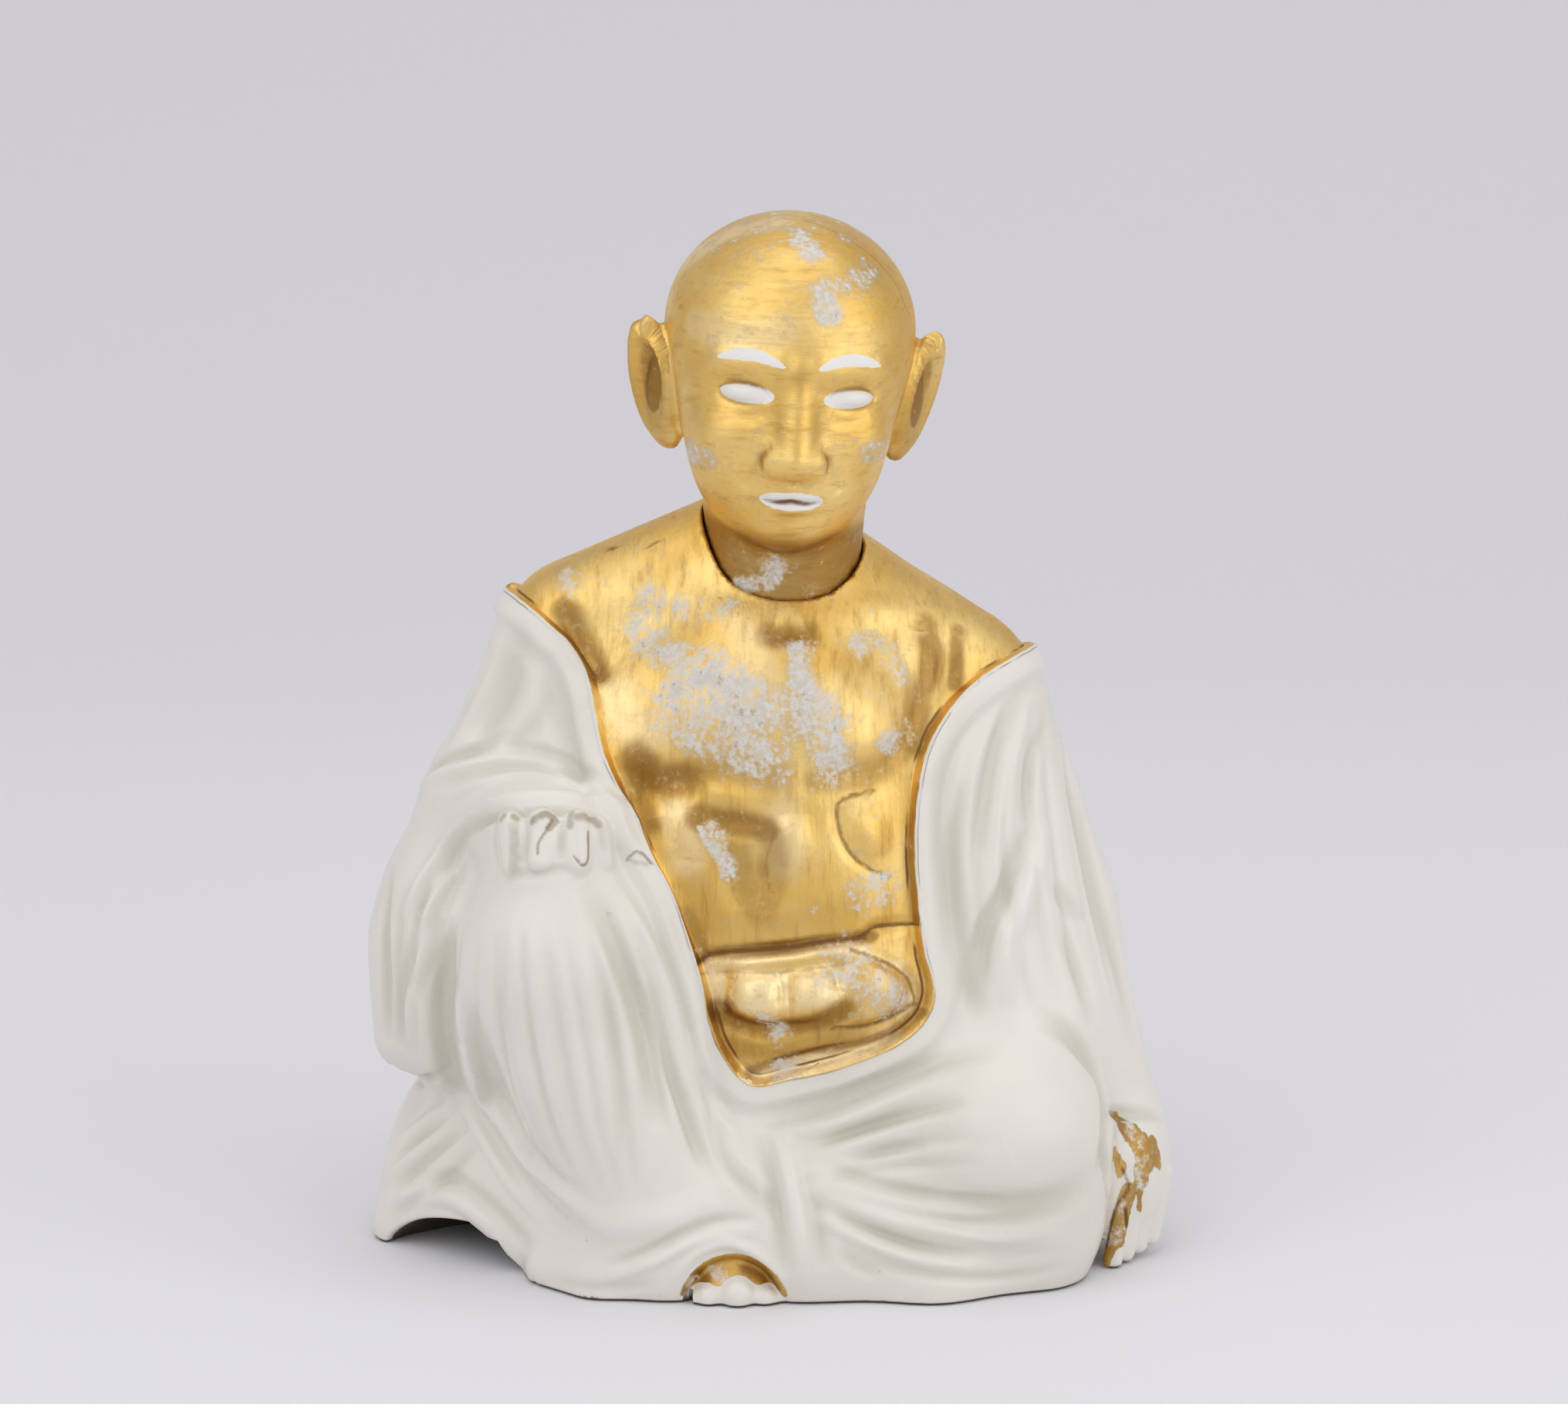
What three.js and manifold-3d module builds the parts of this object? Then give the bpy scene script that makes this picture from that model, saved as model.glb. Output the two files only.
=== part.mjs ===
// A seated porcelain figure of a monk with one knee raised, in a loose robe that leaves
// the chest bare. The body is one hollow casting, open below; the head has a tapered neck
// that drops into the collar. Millimetres, +Z up, the figure faces -Y.
import * as THREE from "three";
import { mergeVertices } from "three/addons/utils/BufferGeometryUtils.js";
import Module from "manifold-3d";

// Driving sizes, in millimetres
const HEIGHT = 180; // table to crown
const WALL = 5.5; // least thickness between the hollow and the outside, before the folds
const NECK_TOP_RADIUS = 13.8; // neck where it leaves the collar
const NECK_FOOT_RADIUS = 11.2; // neck at its lower end, inside the collar
const SEAT_GAP = 0.35; // clearance round the neck and under it
const COLLAR_BORE_RADIUS = 7; // hole from the neck's seat down into the hollow
const EDGE_RADIUS = 1.1; // rolled edge of the robe
const FINGER_RADIUS = 1.9;
const TOE_RADIUS = 2;
const ARCH_HALF_WIDTH = 18.4; // opening under the hem at the hanging sleeve
const ARCH_DEPTH = 26; // how far the opening reaches in, from its middle
const ARCH_RISE = 7.4; // its crown above the table
const CENTRE_SHIFT = 1.9; // moves the figure back, so that its box is centred on the origin

// The pose and the carving are shares of the height: 1 share is a hundredth of it.
const SHARE = HEIGHT / 100;
const point = (x, y, z) => new THREE.Vector3(x, y, z).multiplyScalar(SHARE);

const FAR = HEIGHT; // a start outside the figure, for any cast
const STEP_SHARE = 0.7; // part of the measured distance that a cast moves at a time
const CAST_STEPS = 90;
const TOUCH = 0.01; // a cast point is on the surface within this distance

const wasm = await Module();
wasm.setup();

// Forms: each is a function that gives a point's rough distance to its surface, negative inside.

// An egg of clay: centre and half-sizes in shares, turned by Euler angles in degrees.
function egg([x, y, z], [rx, ry, rz], turn = [0, 0, 0]) {
  const centre = point(x, y, z);
  const radii = point(rx, ry, rz);
  const angles = turn.map(THREE.MathUtils.degToRad);
  const unturn = new THREE.Quaternion().setFromEuler(new THREE.Euler(...angles)).invert();
  const local = new THREE.Vector3();
  const scaled = new THREE.Vector3();
  return (p) => {
    local.copy(p).sub(centre).applyQuaternion(unturn);
    const near = scaled.copy(local).divide(radii).length();
    const slope = scaled.divide(radii).length();
    return slope < 1e-9 ? -Math.min(radii.x, radii.y, radii.z) : (near * (near - 1)) / slope;
  };
}

// A rolled length of clay between two points, with a radius at each end, in shares.
function limb(from, to, fromRadius, toRadius) {
  const start = point(...from);
  const axis = point(...to).sub(start);
  const ra = fromRadius * SHARE;
  const rb = toRadius * SHARE;
  const lengthSq = axis.lengthSq();
  const offset = new THREE.Vector3();
  return (p) => {
    offset.copy(p).sub(start);
    const t = THREE.MathUtils.clamp(offset.dot(axis) / lengthSq, 0, 1);
    return offset.addScaledVector(axis, -t).length() - THREE.MathUtils.lerp(ra, rb, t);
  };
}

// Forms pressed together, with a soft fillet of the given width in shares.
function blend(width, ...forms) {
  const soft = width * SHARE;
  return (p) => {
    let d = forms[0](p);
    for (let i = 1; i < forms.length; i++) {
      const other = forms[i](p);
      const h = Math.max(soft - Math.abs(d - other), 0) / soft;
      d = Math.min(d, other) - (h * h * soft) / 4;
    }
    return d;
  };
}

const SLOPE_STEP = 0.2; // millimetres to each side of a place, to measure the slope there
function normalOf(form, p) {
  const sample = (x, y, z) => form(new THREE.Vector3(p.x + x, p.y + y, p.z + z));
  return new THREE.Vector3(
    sample(SLOPE_STEP, 0, 0) - sample(-SLOPE_STEP, 0, 0),
    sample(0, SLOPE_STEP, 0) - sample(0, -SLOPE_STEP, 0),
    sample(0, 0, SLOPE_STEP) - sample(0, 0, -SLOPE_STEP),
  ).normalize();
}

// Moves from start along direction until the form is met, at a depth below its surface.
function cast(form, start, direction, depth = 0) {
  const p = start.clone();
  for (let i = 0; i < CAST_STEPS; i++) {
    const d = form(p) + depth;
    if (d < TOUCH) break;
    p.addScaledVector(direction, d * STEP_SHARE);
  }
  return p;
}

// Where a line from outside towards the centre, through a place near the surface, meets the form.
function onto(form, centre, place) {
  const middle = point(...centre);
  const outward = point(...place).sub(middle).normalize();
  return cast(form, middle.clone().addScaledVector(outward, FAR), outward.negate());
}

// Strokes: a smooth line on the surface that presses in a groove or raises a ridge.

const STROKE_STEPS = 14;

// Its line passes through surface points; its height, in shares, is negative in a groove.
function stroke(points, width, height) {
  const line = new THREE.CatmullRomCurve3(points).getSpacedPoints(STROKE_STEPS);
  const reach = width * SHARE;
  const lift = height * SHARE;
  const segment = new THREE.Line3();
  const nearest = new THREE.Vector3();
  return (p) => {
    let best = Infinity;
    let along = 0;
    for (let i = 0; i < STROKE_STEPS; i++) {
      segment.set(line[i], line[i + 1]);
      const t = segment.closestPointToPointParameter(p, true);
      const d = segment.at(t, nearest).distanceToSquared(p);
      if (d < best) {
        best = d;
        along = (i + t) / STROKE_STEPS;
      }
    }
    const share = Math.sqrt(best) / reach;
    if (share >= 1) return 0;
    return lift * (1 - share * share) ** 2 * Math.sqrt(Math.sin(Math.PI * along));
  };
}

// Solids

function solidOf(geometry) {
  const bare = geometry.clone();
  bare.deleteAttribute("normal");
  bare.deleteAttribute("uv");
  const merged = mergeVertices(bare, 1e-3);
  return new wasm.Manifold(
    new wasm.Mesh({
      numProp: 3,
      vertProperties: new Float32Array(merged.attributes.position.array),
      triVerts: new Uint32Array(merged.index.array),
    }),
  );
}

function geometryOf(solid) {
  const mesh = solid.getMesh();
  const geometry = new THREE.BufferGeometry();
  geometry.setAttribute("position", new THREE.BufferAttribute(mesh.vertProperties, mesh.numProp));
  geometry.setIndex(new THREE.BufferAttribute(mesh.triVerts, 1));
  geometry.computeVertexNormals();
  return geometry;
}

// A ball of clay whose skin is pulled in, from all round, onto the form, then worked with strokes.
function modelled(form, centre, detail, strokes = [], depth = 0) {
  const geometry = new THREE.IcosahedronGeometry(1, detail);
  const position = geometry.getAttribute("position");
  const middle = point(...centre);
  const direction = new THREE.Vector3();
  for (let i = 0; i < position.count; i++) {
    direction.fromBufferAttribute(position, i).normalize();
    const start = middle.clone().addScaledVector(direction, FAR);
    const p = cast(form, start, direction.clone().negate(), depth);
    if (strokes.length) {
      const lift = strokes.reduce((sum, work) => sum + work(p), 0);
      p.addScaledVector(normalOf(form, p), lift);
    }
    position.setXYZ(i, p.x, p.y, p.z);
  }
  return solidOf(geometry);
}

// A closed ring of tube through a line of points.
function ringOf(points, radius, steps) {
  const section = new THREE.Shape().absarc(0, 0, radius, 0, 2 * Math.PI);
  const path = new THREE.CatmullRomCurve3(points, true);
  const options = { steps, extrudePath: path, bevelEnabled: false, curveSegments: 3 };
  return solidOf(new THREE.ExtrudeGeometry(section, options));
}

// A finger or toe between two points, with round ends.
function digit(from, to, radius) {
  const axis = to.clone().sub(from);
  const length = axis.length();
  const geometry = new THREE.CapsuleGeometry(radius, length, 2, 7).translate(0, length / 2, 0);
  const up = new THREE.Vector3(0, 1, 0);
  geometry.applyQuaternion(new THREE.Quaternion().setFromUnitVectors(up, axis.normalize()));
  return solidOf(geometry.translate(from.x, from.y, from.z));
}

// A round solid on the neck's axis; its profile gives radius in millimetres and height in shares.
const NECK_AXIS = point(1.2, -1.6, 0);
function turned(profile, segments = 20) {
  const points = profile.map(([radius, z]) => new THREE.Vector2(radius, z * SHARE));
  const geometry = new THREE.LatheGeometry(points, segments).rotateX(Math.PI / 2);
  return solidOf(geometry.translate(NECK_AXIS.x, NECK_AXIS.y, 0));
}

// Trunk, legs and arms, in their robe

const mantle = egg([0.5, 1.5, 25], [32, 20, 41]);
const chest = egg([0, -1, 51], [18.5, 13, 14]);
const belly = limb([0.2, -2, 52], [2, -5.4, 28], 12.8, 13.4);
const restingShoulder = limb([-3, 1, 67], [-19.4, 0.6, 60], 6, 6);
const droppedShoulder = limb([4, 1, 64], [18.8, 0.6, 54.4], 6, 6.4);
const nape = egg([0.8, 1.5, 61], [10, 9.5, 8.5]);
const restingPanel = limb([-15, -4.5, 51], [-15, -10.5, 37], 7, 8);
const droppedPanel = limb([14.5, -4, 47], [22.5, -5.5, 23], 8, 10);
const bellyRoll = egg([4, -9.6, 27.4], [10, 10.4, 5.4]);
const lap = egg([1.5, -10, 7], [17, 13.5, 12.5]);
const skirt = egg([0, 3.5, 13], [32, 18.5, 27]);
const seat = egg([0, 1, 5], [34, 21.5, 17]);
const trunk = blend(
  4,
  mantle,
  chest,
  belly,
  bellyRoll,
  restingShoulder,
  droppedShoulder,
  nape,
  restingPanel,
  droppedPanel,
  lap,
  skirt,
  seat,
);

const raisedThigh = limb([-9, -2, 15], [-19.3, -15, 32.6], 13, 9.4);
const raisedShin = limb([-19, -15, 31], [-10, -15.5, 4], 9.8, 8.6);
const foldedThigh = limb([7, -5, 13], [21.4, -12.5, 13.3], 12, 11.2);
const foldedShin = limb([24, -13.5, 6], [3, -17, 4], 7.8, 7.2);
const kneeHem = limb([24, -14.8, 1.6], [15, -18.2, 1.4], 5.2, 5.2);
const lapHem = limb([15, -18.2, 1.4], [5, -17.2, 1.4], 5.2, 4.6);
const flaredHem = limb([-20.6, -16.4, 1.4], [-16.4, -19.4, 1.2], 2.6, 3.2);
const legs = blend(
  3,
  raisedThigh,
  raisedShin,
  foldedThigh,
  foldedShin,
  kneeHem,
  lapHem,
  flaredHem,
);

const restingUpperArm = limb([-20.4, -1, 57.4], [-26.4, -3, 43.2], 6.2, 6.6);
const restingForearm = limb([-26.4, -4, 43.2], [-20.8, -17, 42.4], 6.4, 4.6);
const hangingSleeve = egg([-29.8, -3.5, 29], [8.2, 11, 14], [0, -3, 0]);
const sleeveEdge = limb([-33.4, -4, 30], [-34.8, -4, 20.6], 4.2, 3.2);
const hemCorner = egg([-25, 2, 4], [12.6, 12.5, 15]);
const hemTip = limb([-33.4, -2, 8], [-35.8, -2.8, 1], 2.6, 2.6);
const droppedUpperArm = limb([19.2, 0, 52], [25.8, 0, 31], 6.4, 6.4);
const droppedForearm = limb([25.8, 0, 31], [32.2, -4.5, 11], 6.4, 5.6);
const restingHand = egg([-19.8, -16.4, 44.8], [5.6, 4.4, 2.6], [12, 0, 0]);
const droppedHand = egg([34.2, -7.4, 8], [3.4, 4.6, 6], [0, -4, 0]);
const arms = blend(
  3,
  restingUpperArm,
  restingForearm,
  hangingSleeve,
  sleeveEdge,
  hemCorner,
  hemTip,
  droppedUpperArm,
  droppedForearm,
  restingHand,
  droppedHand,
);

const bodyForm = blend(3.5, trunk, legs, arms);
const bodyCentre = [0, -5, 26];
const BODY_DETAIL = 13;

const skin = (places) => places.map((place) => onto(bodyForm, bodyCentre, place));
const groove = (reach, depth, ...places) => stroke(skin(places), reach, -depth);
const ridge = (reach, height, ...places) => stroke(skin(places), reach, height);

const chestStrokes = [
  groove(3.4, 0.9,
    [-17.6, -9.4, 56], [-14.3, -13, 50.9], [-9.8, -14.2, 49.3],
    [-4, -15.8, 49.7], [0.9, -16, 51.6]),
  groove(3.4, 0.9, [0.9, -16, 51.6], [5.6, -15.5, 50.4], [10.7, -14, 49.2], [14.4, -12.3, 51.4]),
  groove(3.2, 1.3, [-8, -18.3, 33], [0, -19, 31.6], [7, -18.3, 32.3], [14.6, -16.3, 34]),
];
const sleeveStrokes = [
  groove(3.6, 1, [-19.5, -7.7, 57.9], [-21, -9.2, 53], [-25.4, -10.2, 48.6], [-31.4, -8.6, 45.9]),
  groove(3.4, 0.8, [-17.2, -11, 53.4], [-17.9, -12.8, 49.3], [-21.6, -14.5, 47.5], [-26.8, -13.2, 46.4]),
  groove(4, 1.6, [-37, -5, 17], [-34, -9, 17.5], [-31.6, -11.5, 19.8], [-29.5, -14.8, 26]),
  groove(3.4, 1,
    [17, -9.3, 54.5], [15.9, -13, 47.8], [16.2, -14.7, 40.7],
    [17, -15.6, 33.3], [16.7, -16, 26.6]),
  groove(3.6, 1,
    [25, -1, 56.2], [22.6, -7.7, 50.3], [20.7, -12.9, 41.7],
    [19.6, -15, 33.2], [20.4, -15.9, 26.5]),
  groove(4, 1.1,
    [26.9, -2.7, 49], [26.4, -7.8, 42.6], [27.1, -11, 33.6],
    [29.4, -12.3, 25.4], [32.5, -11, 17.3]),
];
const legStrokes = [
  groove(4.5, 1.5,
    [-29, -12.8, 40.9], [-29.8, -15, 34.7], [-29.5, -15, 26.2],
    [-27.2, -10.4, 14.8], [-22.6, -15.3, 6.9]),
  groove(4, 1,
    [-9.8, -18.3, 37.9], [-7.6, -19, 29.7], [-6.2, -19.2, 22.9],
    [-5.5, -20.4, 16.3], [-3.2, -21.6, 12.8]),
  groove(3.6, 1, [-31.8, -8, 16.4], [-28.7, -11.3, 10.4], [-24.2, -14.4, 3.6]),
  groove(4, 1.2,
    [-2.5, -18.6, 18.8], [0.1, -20.3, 15.5], [1.5, -22.3, 12.3],
    [1.9, -24, 8.2], [1.2, -24.5, 4.5]),
  groove(3.6, 1,
    [1.2, -21.5, 13.6], [5.6, -19.7, 16], [10.7, -18.9, 18.9],
    [16.6, -18, 22.5], [22.6, -16.2, 25]),
  groove(3.6, 1.3,
    [2.3, -22.8, 11.3], [7.8, -22.4, 10.8], [14.4, -21.9, 9.9],
    [21.8, -22.9, 9], [27.7, -20.9, 8]),
  ridge(3.5, 0.8,
    [2.3, -23.5, 8.8], [7.8, -23.6, 6.8], [15.2, -22.6, 4.7],
    [23.3, -21.5, 4.3], [30, -18.4, 5.6]),
];
const backStrokes = [
  groove(4.5, 1, [-17, 12, 56], [-22, 16, 34], [-25, 18, 8]),
  groove(4.5, 0.9, [-5, 17, 52], [-7, 21, 32], [-9, 22, 6]),
  groove(4.5, 0.9, [6, 17, 50], [10, 20, 30], [13, 21, 6]),
  groove(4.5, 1, [16, 12, 50], [22, 15, 30], [27, 15, 8]),
];
const strokes = [...chestStrokes, ...sleeveStrokes, ...legStrokes, ...backStrokes];

// The robe's edge, from the raised side down to the belly, up the other side and round the back.
const neckline = skin([
  [-18, -7.3, 59.3],
  [-15.4, -12.6, 51.5],
  [-12.4, -16, 44],
  [-8.7, -18, 36.7],
  [-5.8, -18.8, 27.3],
  [-4, -18.8, 22.4],
  [-1, -18.6, 20.2],
  [7, -18.5, 22.7],
  [13.6, -16.9, 25.8],
  [15, -16.4, 29.2],
  [13.3, -15.4, 39.5],
  [13.7, -13.9, 46.6],
  [16.3, -10, 53.9],
  [23.5, 0, 57.6],
  [19, 6, 56],
  [0, 13, 54],
  [-18.5, 6, 60],
  [-24.2, 0.5, 62.6],
  [-22, -4, 62.2],
]);

// The neck's seat: a tapered socket from the collar down to its floor, with a hole on below.
const SEAT_FLOOR = 57;
const COLLAR_TOP = 72;
const CLEAR_OF_COLLAR = 76;
const INSIDE_HOLLOW = 42;
const neckSeat = turned([
  [0, SEAT_FLOOR],
  [NECK_FOOT_RADIUS + SEAT_GAP, SEAT_FLOOR],
  [NECK_TOP_RADIUS + SEAT_GAP, COLLAR_TOP],
  [NECK_TOP_RADIUS + SEAT_GAP, CLEAR_OF_COLLAR],
  [0, CLEAR_OF_COLLAR],
]);
const collarBore = turned([
  [0, INSIDE_HOLLOW],
  [COLLAR_BORE_RADIUS, INSIDE_HOLLOW],
  [COLLAR_BORE_RADIUS, SEAT_FLOOR + 1],
  [0, SEAT_FLOOR + 1],
]);

// The hollow follows the trunk's lower half; the legs and the upper chest are thicker.
const core = egg([1, 0, 28], [24, 16, 23]);
const HOLLOW_DETAIL = 5;
const hollow = modelled(blend(4, core, skirt, seat), [0, 1, 18], HOLLOW_DETAIL, [], WALL);
const ARCH_PLACE = point(-27.8, -9.6, -1);
const ARCH_TURN = -0.86; // about the up axis, in radians
const hemArch = solidOf(
  new THREE.SphereGeometry(1, 16, 12)
    .scale(ARCH_HALF_WIDTH, ARCH_DEPTH, ARCH_RISE - ARCH_PLACE.z)
    .rotateZ(ARCH_TURN)
    .translate(ARCH_PLACE.x, ARCH_PLACE.y, ARCH_PLACE.z),
);
const below = solidOf(
  new THREE.BoxGeometry(3 * HEIGHT, 3 * HEIGHT, HEIGHT).translate(0, 0, -HEIGHT / 2),
);

const restingFingers = [
  [[-24.2, -18.4, 45.7], [-23.9, -19.9, 41.7]],
  [[-21.3, -19.8, 46.2], [-21.6, -21.2, 42.7]],
  [[-18.2, -19.6, 45.9], [-18, -20.7, 42.2]],
  [[-16.1, -18.8, 45.3], [-15.6, -19.1, 42]],
  [[-13.9, -17, 43.7], [-12, -16.8, 41.2]],
].map(([knuckle, tip]) => digit(point(...knuckle), point(...tip), FINGER_RADIUS));
const droppedFingers = [0, 1, 2, 3].map((i) => {
  const knuckle = point(33.7 + 1.2 * i, -11.2 + 1.2 * i, 8);
  const tip = point(32.5 + 1.25 * i, -12.2 + 1.3 * i, 0.7 + 0.4 * i);
  return digit(knuckle, tip, FINGER_RADIUS);
});
// The foot comes out under the hem, which arches over the toes.
const FOOT_DETAIL = 3;
const recessPlace = [-3.6, -24.4, -0.6];
const toeRecess = modelled(egg(recessPlace, [5.6, 4.6, 5.6]), recessPlace, FOOT_DETAIL);
const footPlace = [-3.4, -19.4, 1.2];
const foot = modelled(egg(footPlace, [4.9, 3.4, 3.4]), footPlace, FOOT_DETAIL);
const TOE_REACH = 3; // shares from a toe's root to its tip's centre
const toes = [
  [-7.8, -21.4, 0.75],
  [-6.2, -22.2, 0.95],
  [-3.1, -22.4, 1.45],
  [-0.2, -22.5, 0.85],
].map(([x, y, share]) => {
  const root = point(x, y + TOE_REACH, share);
  return digit(root, point(x, y, share), share * TOE_RADIUS);
});

const EDGE_STEPS = 54;
const clay = modelled(bodyForm, bodyCentre, BODY_DETAIL, strokes).subtract(toeRecess);
const joined = [
  ringOf(neckline, EDGE_RADIUS, EDGE_STEPS),
  ...restingFingers,
  ...droppedFingers,
  foot,
  ...toes,
];
const body = joined
  .reduce((solid, piece) => solid.add(piece), clay)
  .subtract(hollow)
  .subtract(neckSeat)
  .subtract(collarBore)
  .subtract(hemArch)
  .subtract(below);

// Head, first in a frame whose origin is between the eyes' line and the ears'

const cranium = egg([0, 1, 4.2], [11.8, 13, 10.8]);
const jaw = egg([0, -3, -4.4], [9.4, 9.2, 9.6]);
const muzzle = egg([0, -5.6, -8.2], [6.6, 6.6, 7]);
const chin = egg([0, -9.4, -12.4], [3.2, 2.6, 2.4]);
const nose = limb([0, -12.1, 1.4], [0, -13.3, -5.6], 0.9, 1.7);
const cheeks = [-1, 1].map((side) => egg([side * 5.4, -7.6, -4.2], [3.6, 3.8, 3.4]));
const nostrils = [-1, 1].map((side) => egg([side * 1.8, -12.2, -6], [1.1, 1.4, 1.1]));
const eyeballs = [-1, 1].map((side) => egg([side * 4.6, -9, 0], [2.6, 2.4, 1.7]));
const brows = [-1, 1].map((side) => limb([side * 1.8, -11.5, 2.8], [side * 6.8, -8.8, 2.8], 1, 0.9));
const lips = limb([-2.6, -11.3, -9.6], [2.6, -11.3, -9.6], 0.9, 0.9);
const skull = blend(5, cranium, jaw, muzzle);
const throat = limb([0, 2, -4], [0.4, 0.5, -9], 7.2, 7);
const features = [chin, nose, lips, ...cheeks, ...nostrils, ...brows, ...eyeballs];
const headForm = blend(1.6, blend(3, skull, throat), ...features);
const headCentre = [0, -4, 0];
const HEAD_DETAIL = 8;
const faceLine = (reach, depth, ...places) =>
  stroke(places.map((place) => onto(headForm, headCentre, place)), reach, -depth);
const faceStrokes = [
  faceLine(1.6, 0.5, [-3.4, -12, -9.5], [0, -12.5, -9.7], [3.4, -12, -9.5]),
  ...[-1, 1].map((side) =>
    faceLine(2, 0.5, [side * 2, -11, 0.6], [side * 4.6, -11, 1.6], [side * 7, -9, 1]),
  ),
];

// An ear: a flattened plate set at a slant, dished on its outer face, on a root in the skull.
const EAR_ROOT_DETAIL = 2;
function ear(side) {
  const place = new THREE.Matrix4().compose(
    point(side * 12, 1, -1.6),
    new THREE.Quaternion().setFromEuler(new THREE.Euler(0, side * 0.22, side * -0.5)),
    point(1.6, 3.7, 6.2),
  );
  const plate = new THREE.SphereGeometry(1, 10, 8).applyMatrix4(place);
  const dish = new THREE.SphereGeometry(0.7, 8, 6)
    .translate(side * 0.75, -0.2, 0.2)
    .applyMatrix4(place);
  const rootPlace = [side * 10.4, 1, -2];
  const root = modelled(egg(rootPlace, [2.6, 2.2, 4.4]), rootPlace, EAR_ROOT_DETAIL);
  return solidOf(plate).subtract(solidOf(dish)).add(root);
}

const HEAD_PLACE = new THREE.Matrix4().compose(
  point(1.5, -2, 85),
  new THREE.Quaternion().setFromEuler(new THREE.Euler(0, 0.077, 0.087)),
  new THREE.Vector3(1, 1, 1),
);
// The neck stands on the seat's floor and ends inside the jaw.
const neckFoot = SEAT_FLOOR + SEAT_GAP / SHARE;
const neck = turned([
  [0, neckFoot],
  [NECK_FOOT_RADIUS, neckFoot],
  [NECK_TOP_RADIUS, COLLAR_TOP],
  [0.9 * NECK_TOP_RADIUS, CLEAR_OF_COLLAR],
  [0, CLEAR_OF_COLLAR + 1],
]);
const head = modelled(headForm, headCentre, HEAD_DETAIL, faceStrokes)
  .add(ear(-1))
  .add(ear(1))
  .transform(HEAD_PLACE.elements)
  .add(neck);

const glaze = new THREE.MeshStandardMaterial({ color: 0xdedcd2, roughness: 0.25, metalness: 0 });
const gilding = new THREE.MeshStandardMaterial({ color: 0xcb9f45, roughness: 0.35, metalness: 1 });

function part(name, solid, material) {
  const mesh = new THREE.Mesh(geometryOf(solid), material);
  mesh.name = name;
  return mesh;
}

const figure = new THREE.Group();
figure.add(part("body", body, glaze), part("head", head, gilding));
figure.position.y = CENTRE_SHIFT;

export default figure;
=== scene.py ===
"""A seated porcelain monk, 180 mm high, in a loose white robe that leaves the chest bare.

The head, the chest and the belly are gilded over the glaze, and the gilding is worn.
Metres, +Z up, the figure faces -Y.
"""

import math

import bmesh
import bpy
import numpy as np
from mathutils import Euler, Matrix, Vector


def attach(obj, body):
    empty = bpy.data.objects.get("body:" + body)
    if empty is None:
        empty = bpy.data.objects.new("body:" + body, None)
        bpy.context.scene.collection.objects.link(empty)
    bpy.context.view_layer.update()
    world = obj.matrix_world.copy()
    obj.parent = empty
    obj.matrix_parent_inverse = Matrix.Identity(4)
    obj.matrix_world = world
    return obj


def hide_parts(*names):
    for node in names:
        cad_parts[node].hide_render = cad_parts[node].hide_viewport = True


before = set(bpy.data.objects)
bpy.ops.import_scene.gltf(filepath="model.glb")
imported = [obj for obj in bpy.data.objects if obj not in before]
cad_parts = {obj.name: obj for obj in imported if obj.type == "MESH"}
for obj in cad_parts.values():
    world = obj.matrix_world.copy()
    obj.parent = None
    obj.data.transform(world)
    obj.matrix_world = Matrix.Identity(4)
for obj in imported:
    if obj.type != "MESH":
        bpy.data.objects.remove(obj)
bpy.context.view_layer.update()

# View. A long lens stands 1.3 m from the figure and looks 14 degrees down at its middle.
# A place in the picture is given in pixels of a frame 2032 wide and 1820 high.

IMAGE_WIDTH = 2032
IMAGE_HEIGHT = 1820
FOCAL_PIXELS = 9819
SENSOR_MM = 36
DISTANCE = 1.3
ELEVATION = math.radians(14)
AIM = np.array([0.0021, 0.0019, 0.0945])
FORWARD = np.array([0, math.cos(ELEVATION), -math.sin(ELEVATION)])
RIGHT = np.array([1.0, 0, 0])
UP = np.cross(RIGHT, FORWARD)
EYE = AIM - DISTANCE * FORWARD

camera = bpy.data.objects.new("camera", bpy.data.cameras.new("camera"))
camera.data.sensor_width = SENSOR_MM
camera.data.lens = FOCAL_PIXELS * SENSOR_MM / IMAGE_WIDTH
camera.location = EYE
camera.rotation_euler = (math.pi / 2 - ELEVATION, 0, 0)
bpy.context.scene.collection.objects.link(camera)
bpy.context.scene.camera = camera

# Clay forms of the body. The caster's model is eggs and rolled lengths of clay pressed together.
# Each form gives the rough distance of places to its surface, negative inside. Its sizes are in
# shares: 1 share is a hundredth of the height, and the origin is under the figure's trunk.

SHARE = 0.0018
MILLIMETRE = 0.001 / SHARE
TRUNK_FOOT = np.array([0, 0.0019, 0])


def to_shares(metres):
    return (metres - TRUNK_FOOT) / SHARE


def to_metres(places):
    return places * SHARE + TRUNK_FOOT


def egg(centre, radii, turn=(0, 0, 0)):
    centre = np.array(centre, float)
    radii = np.array(radii, float)
    turned = np.array(Euler([math.radians(a) for a in turn]).to_matrix())

    def distance(places):
        local = ((places - centre) @ turned) / radii
        near = np.sqrt(np.einsum("ij,ij->i", local, local))
        local /= radii
        slope = np.sqrt(np.einsum("ij,ij->i", local, local))
        return near * (near - 1) / np.maximum(slope, 1e-6)

    return distance


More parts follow.
